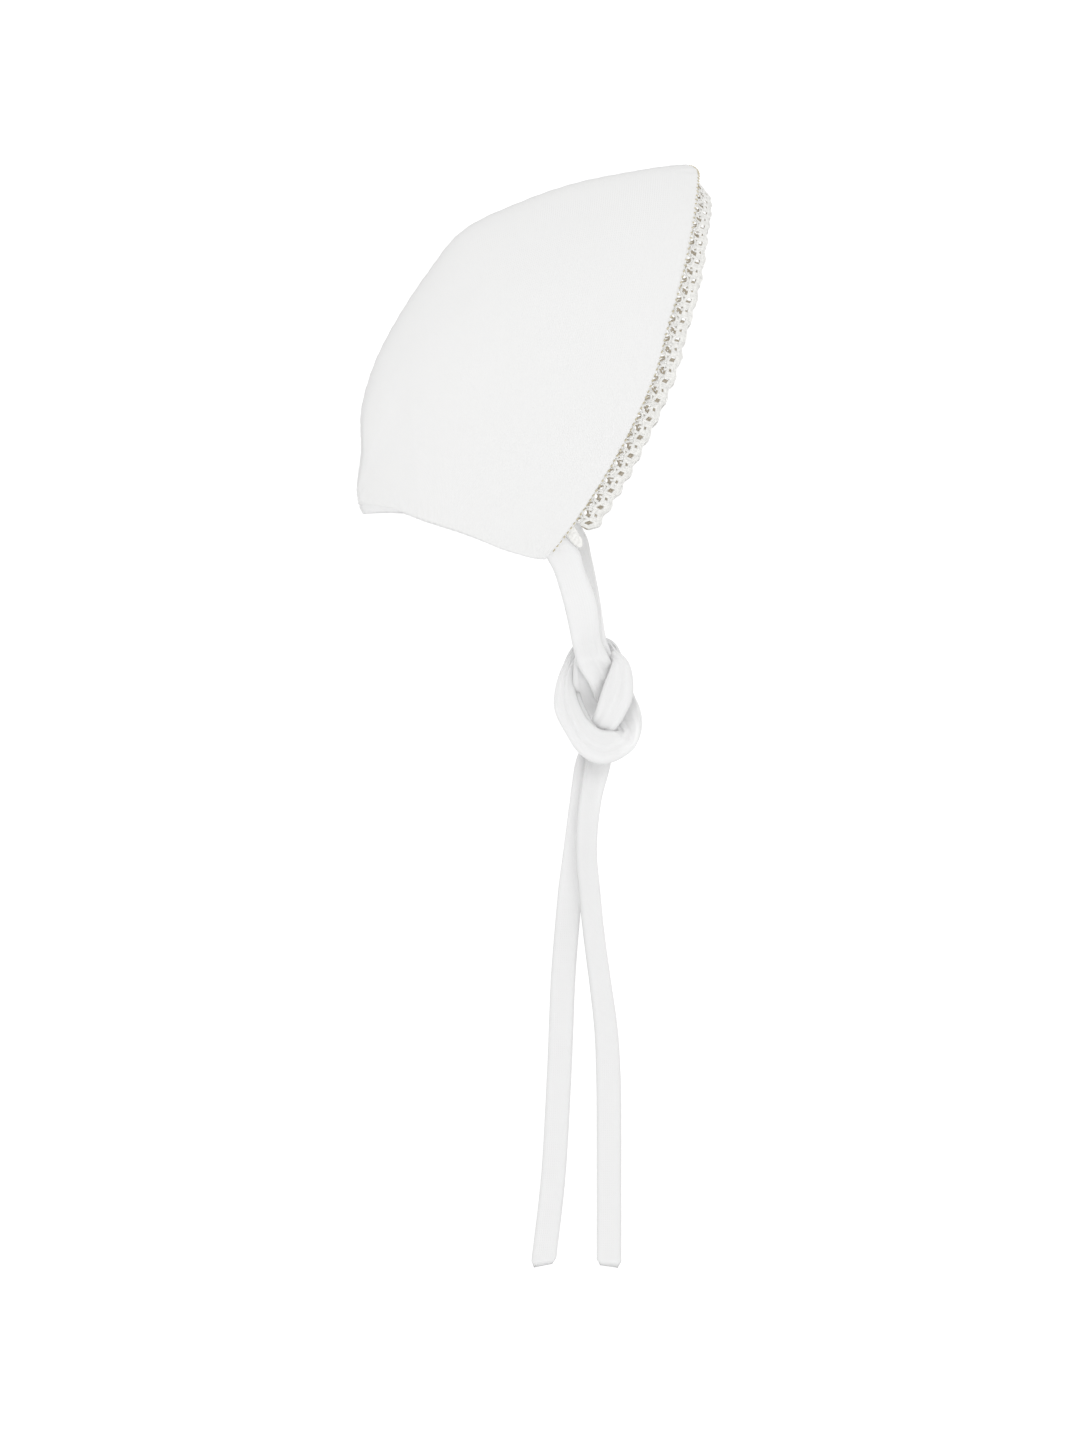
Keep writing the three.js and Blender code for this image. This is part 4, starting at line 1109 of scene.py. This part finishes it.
def stitch_group():
    """Short slanting stitches, one beside the other along the guide."""
    tree, given = node_group(
        "stitches_along_edge", "GeometryNodeTree",
        {
            "Geometry": "Geometry", "Gap": "Float", "Length": "Float", "Thread": "Float",
            "Slant": "Float", "Seed": "Int", "Material": "Material",
        },
        {"Geometry": "Geometry"},
    )
    curve = add_node(tree, "GeometryNodeMeshToCurve", {"Mesh": given["Geometry"]})
    points = add_node(
        tree, "GeometryNodeCurveToPoints", {"Curve": curve.outputs[0], "Length": given["Gap"]}, mode="LENGTH"
    )
    half = calc(tree, "MULTIPLY", given["Length"], 0.5)
    low = add_node(tree, "ShaderNodeCombineXYZ", {"X": calc(tree, "MULTIPLY", half, -1.0)})
    high = add_node(tree, "ShaderNodeCombineXYZ", {"X": half})
    bend = add_node(tree, "ShaderNodeCombineXYZ", {"Z": calc(tree, "MULTIPLY", given["Thread"], 1.6)})
    arc = add_node(
        tree, "GeometryNodeCurveQuadraticBezier",
        {"Resolution": 6, "Start": low.outputs[0], "Middle": bend.outputs[0], "End": high.outputs[0]},
    )
    ring = add_node(tree, "GeometryNodeCurvePrimitiveCircle", {"Resolution": 6, "Radius": given["Thread"]})
    tube = add_node(
        tree, "GeometryNodeCurveToMesh",
        {"Curve": arc.outputs[0], "Profile Curve": ring.outputs["Curve"], "Fill Caps": True},
    )
    facing = add_node(
        tree, "FunctionNodeAxesToRotation",
        {
            "Primary Axis": guide_direction(tree, "rise"),
            "Secondary Axis": guide_direction(tree, "outward"),
        },
        primary_axis="Z", secondary_axis="X",
    )
    wobble = add_node(
        tree, "FunctionNodeRandomValue", {"Min": -0.25, "Max": 0.25, "Seed": given["Seed"]}, data_type="FLOAT"
    )
    turn = calc(tree, "ADD", given["Slant"], wobble.outputs[1])
    slanted = add_node(
        tree, "FunctionNodeRotateRotation",
        {"Rotation": facing.outputs[0],
         "Rotate By": add_node(
             tree, "FunctionNodeAxisAngleToRotation", {"Axis": (0, 0, 1), "Angle": turn}
         ).outputs[0]},
        rotation_space="LOCAL",
    )
    copies = add_node(
        tree, "GeometryNodeInstanceOnPoints",
        {"Points": points.outputs[0], "Instance": tube.outputs[0], "Rotation": slanted.outputs[0]},
    )
    loose = add_node(tree, "GeometryNodeRealizeInstances", {"Geometry": copies.outputs[0]})
    return finish_group(tree, loose.outputs[0], given["Material"])


def edge_tip(side, down):
    """The rounded tip of the folded face edge, its way out of the cloth and its face."""
    at = np.zeros_like(down)
    normal = cap_normal(at, down)
    ahead = unit(cap_surface(at, down) - cap_surface(at + 0.02, down))
    facing = ahead * math.cos(STITCH_TURN) + normal * math.sin(STITCH_TURN)
    outward = ahead * math.sin(STITCH_TURN) - normal * math.cos(STITCH_TURN)
    tip = cap_surface(at, down) - normal * FACE_HEM / 2 + facing * (FACE_HEM / 2 + STITCH_LIFT)
    mirror = np.array([1, side, 1])
    return [part * mirror for part in (tip, outward, facing)]


stitch_thread_painted_shade, tree = new_material("stitch_thread_painted_shade")
# The tan thread colour is painted shade, for the dotted shadows between the lace header's threads.
fill_inputs(tree, tree.nodes["Principled BSDF"], {"Base Color": (0.60, 0.54, 0.38, 1), "Roughness": 0.75})
points, outward, rise = round_the_face(edge_tip, np.linspace(0, STITCH_END, EDGE_STEPS))
stitches = guide_object("lace_stitches", points, {"outward": outward, "rise": rise})
bake_nodes(stitches, stitch_group(), {
    "Gap": STITCH_GAP,
    "Length": STITCH_LENGTH,
    "Thread": STITCH_THREAD,
    "Slant": 0.5,
    "Seed": 4,
    "Material": stitch_thread_painted_shade,
})
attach(stitches, "root")
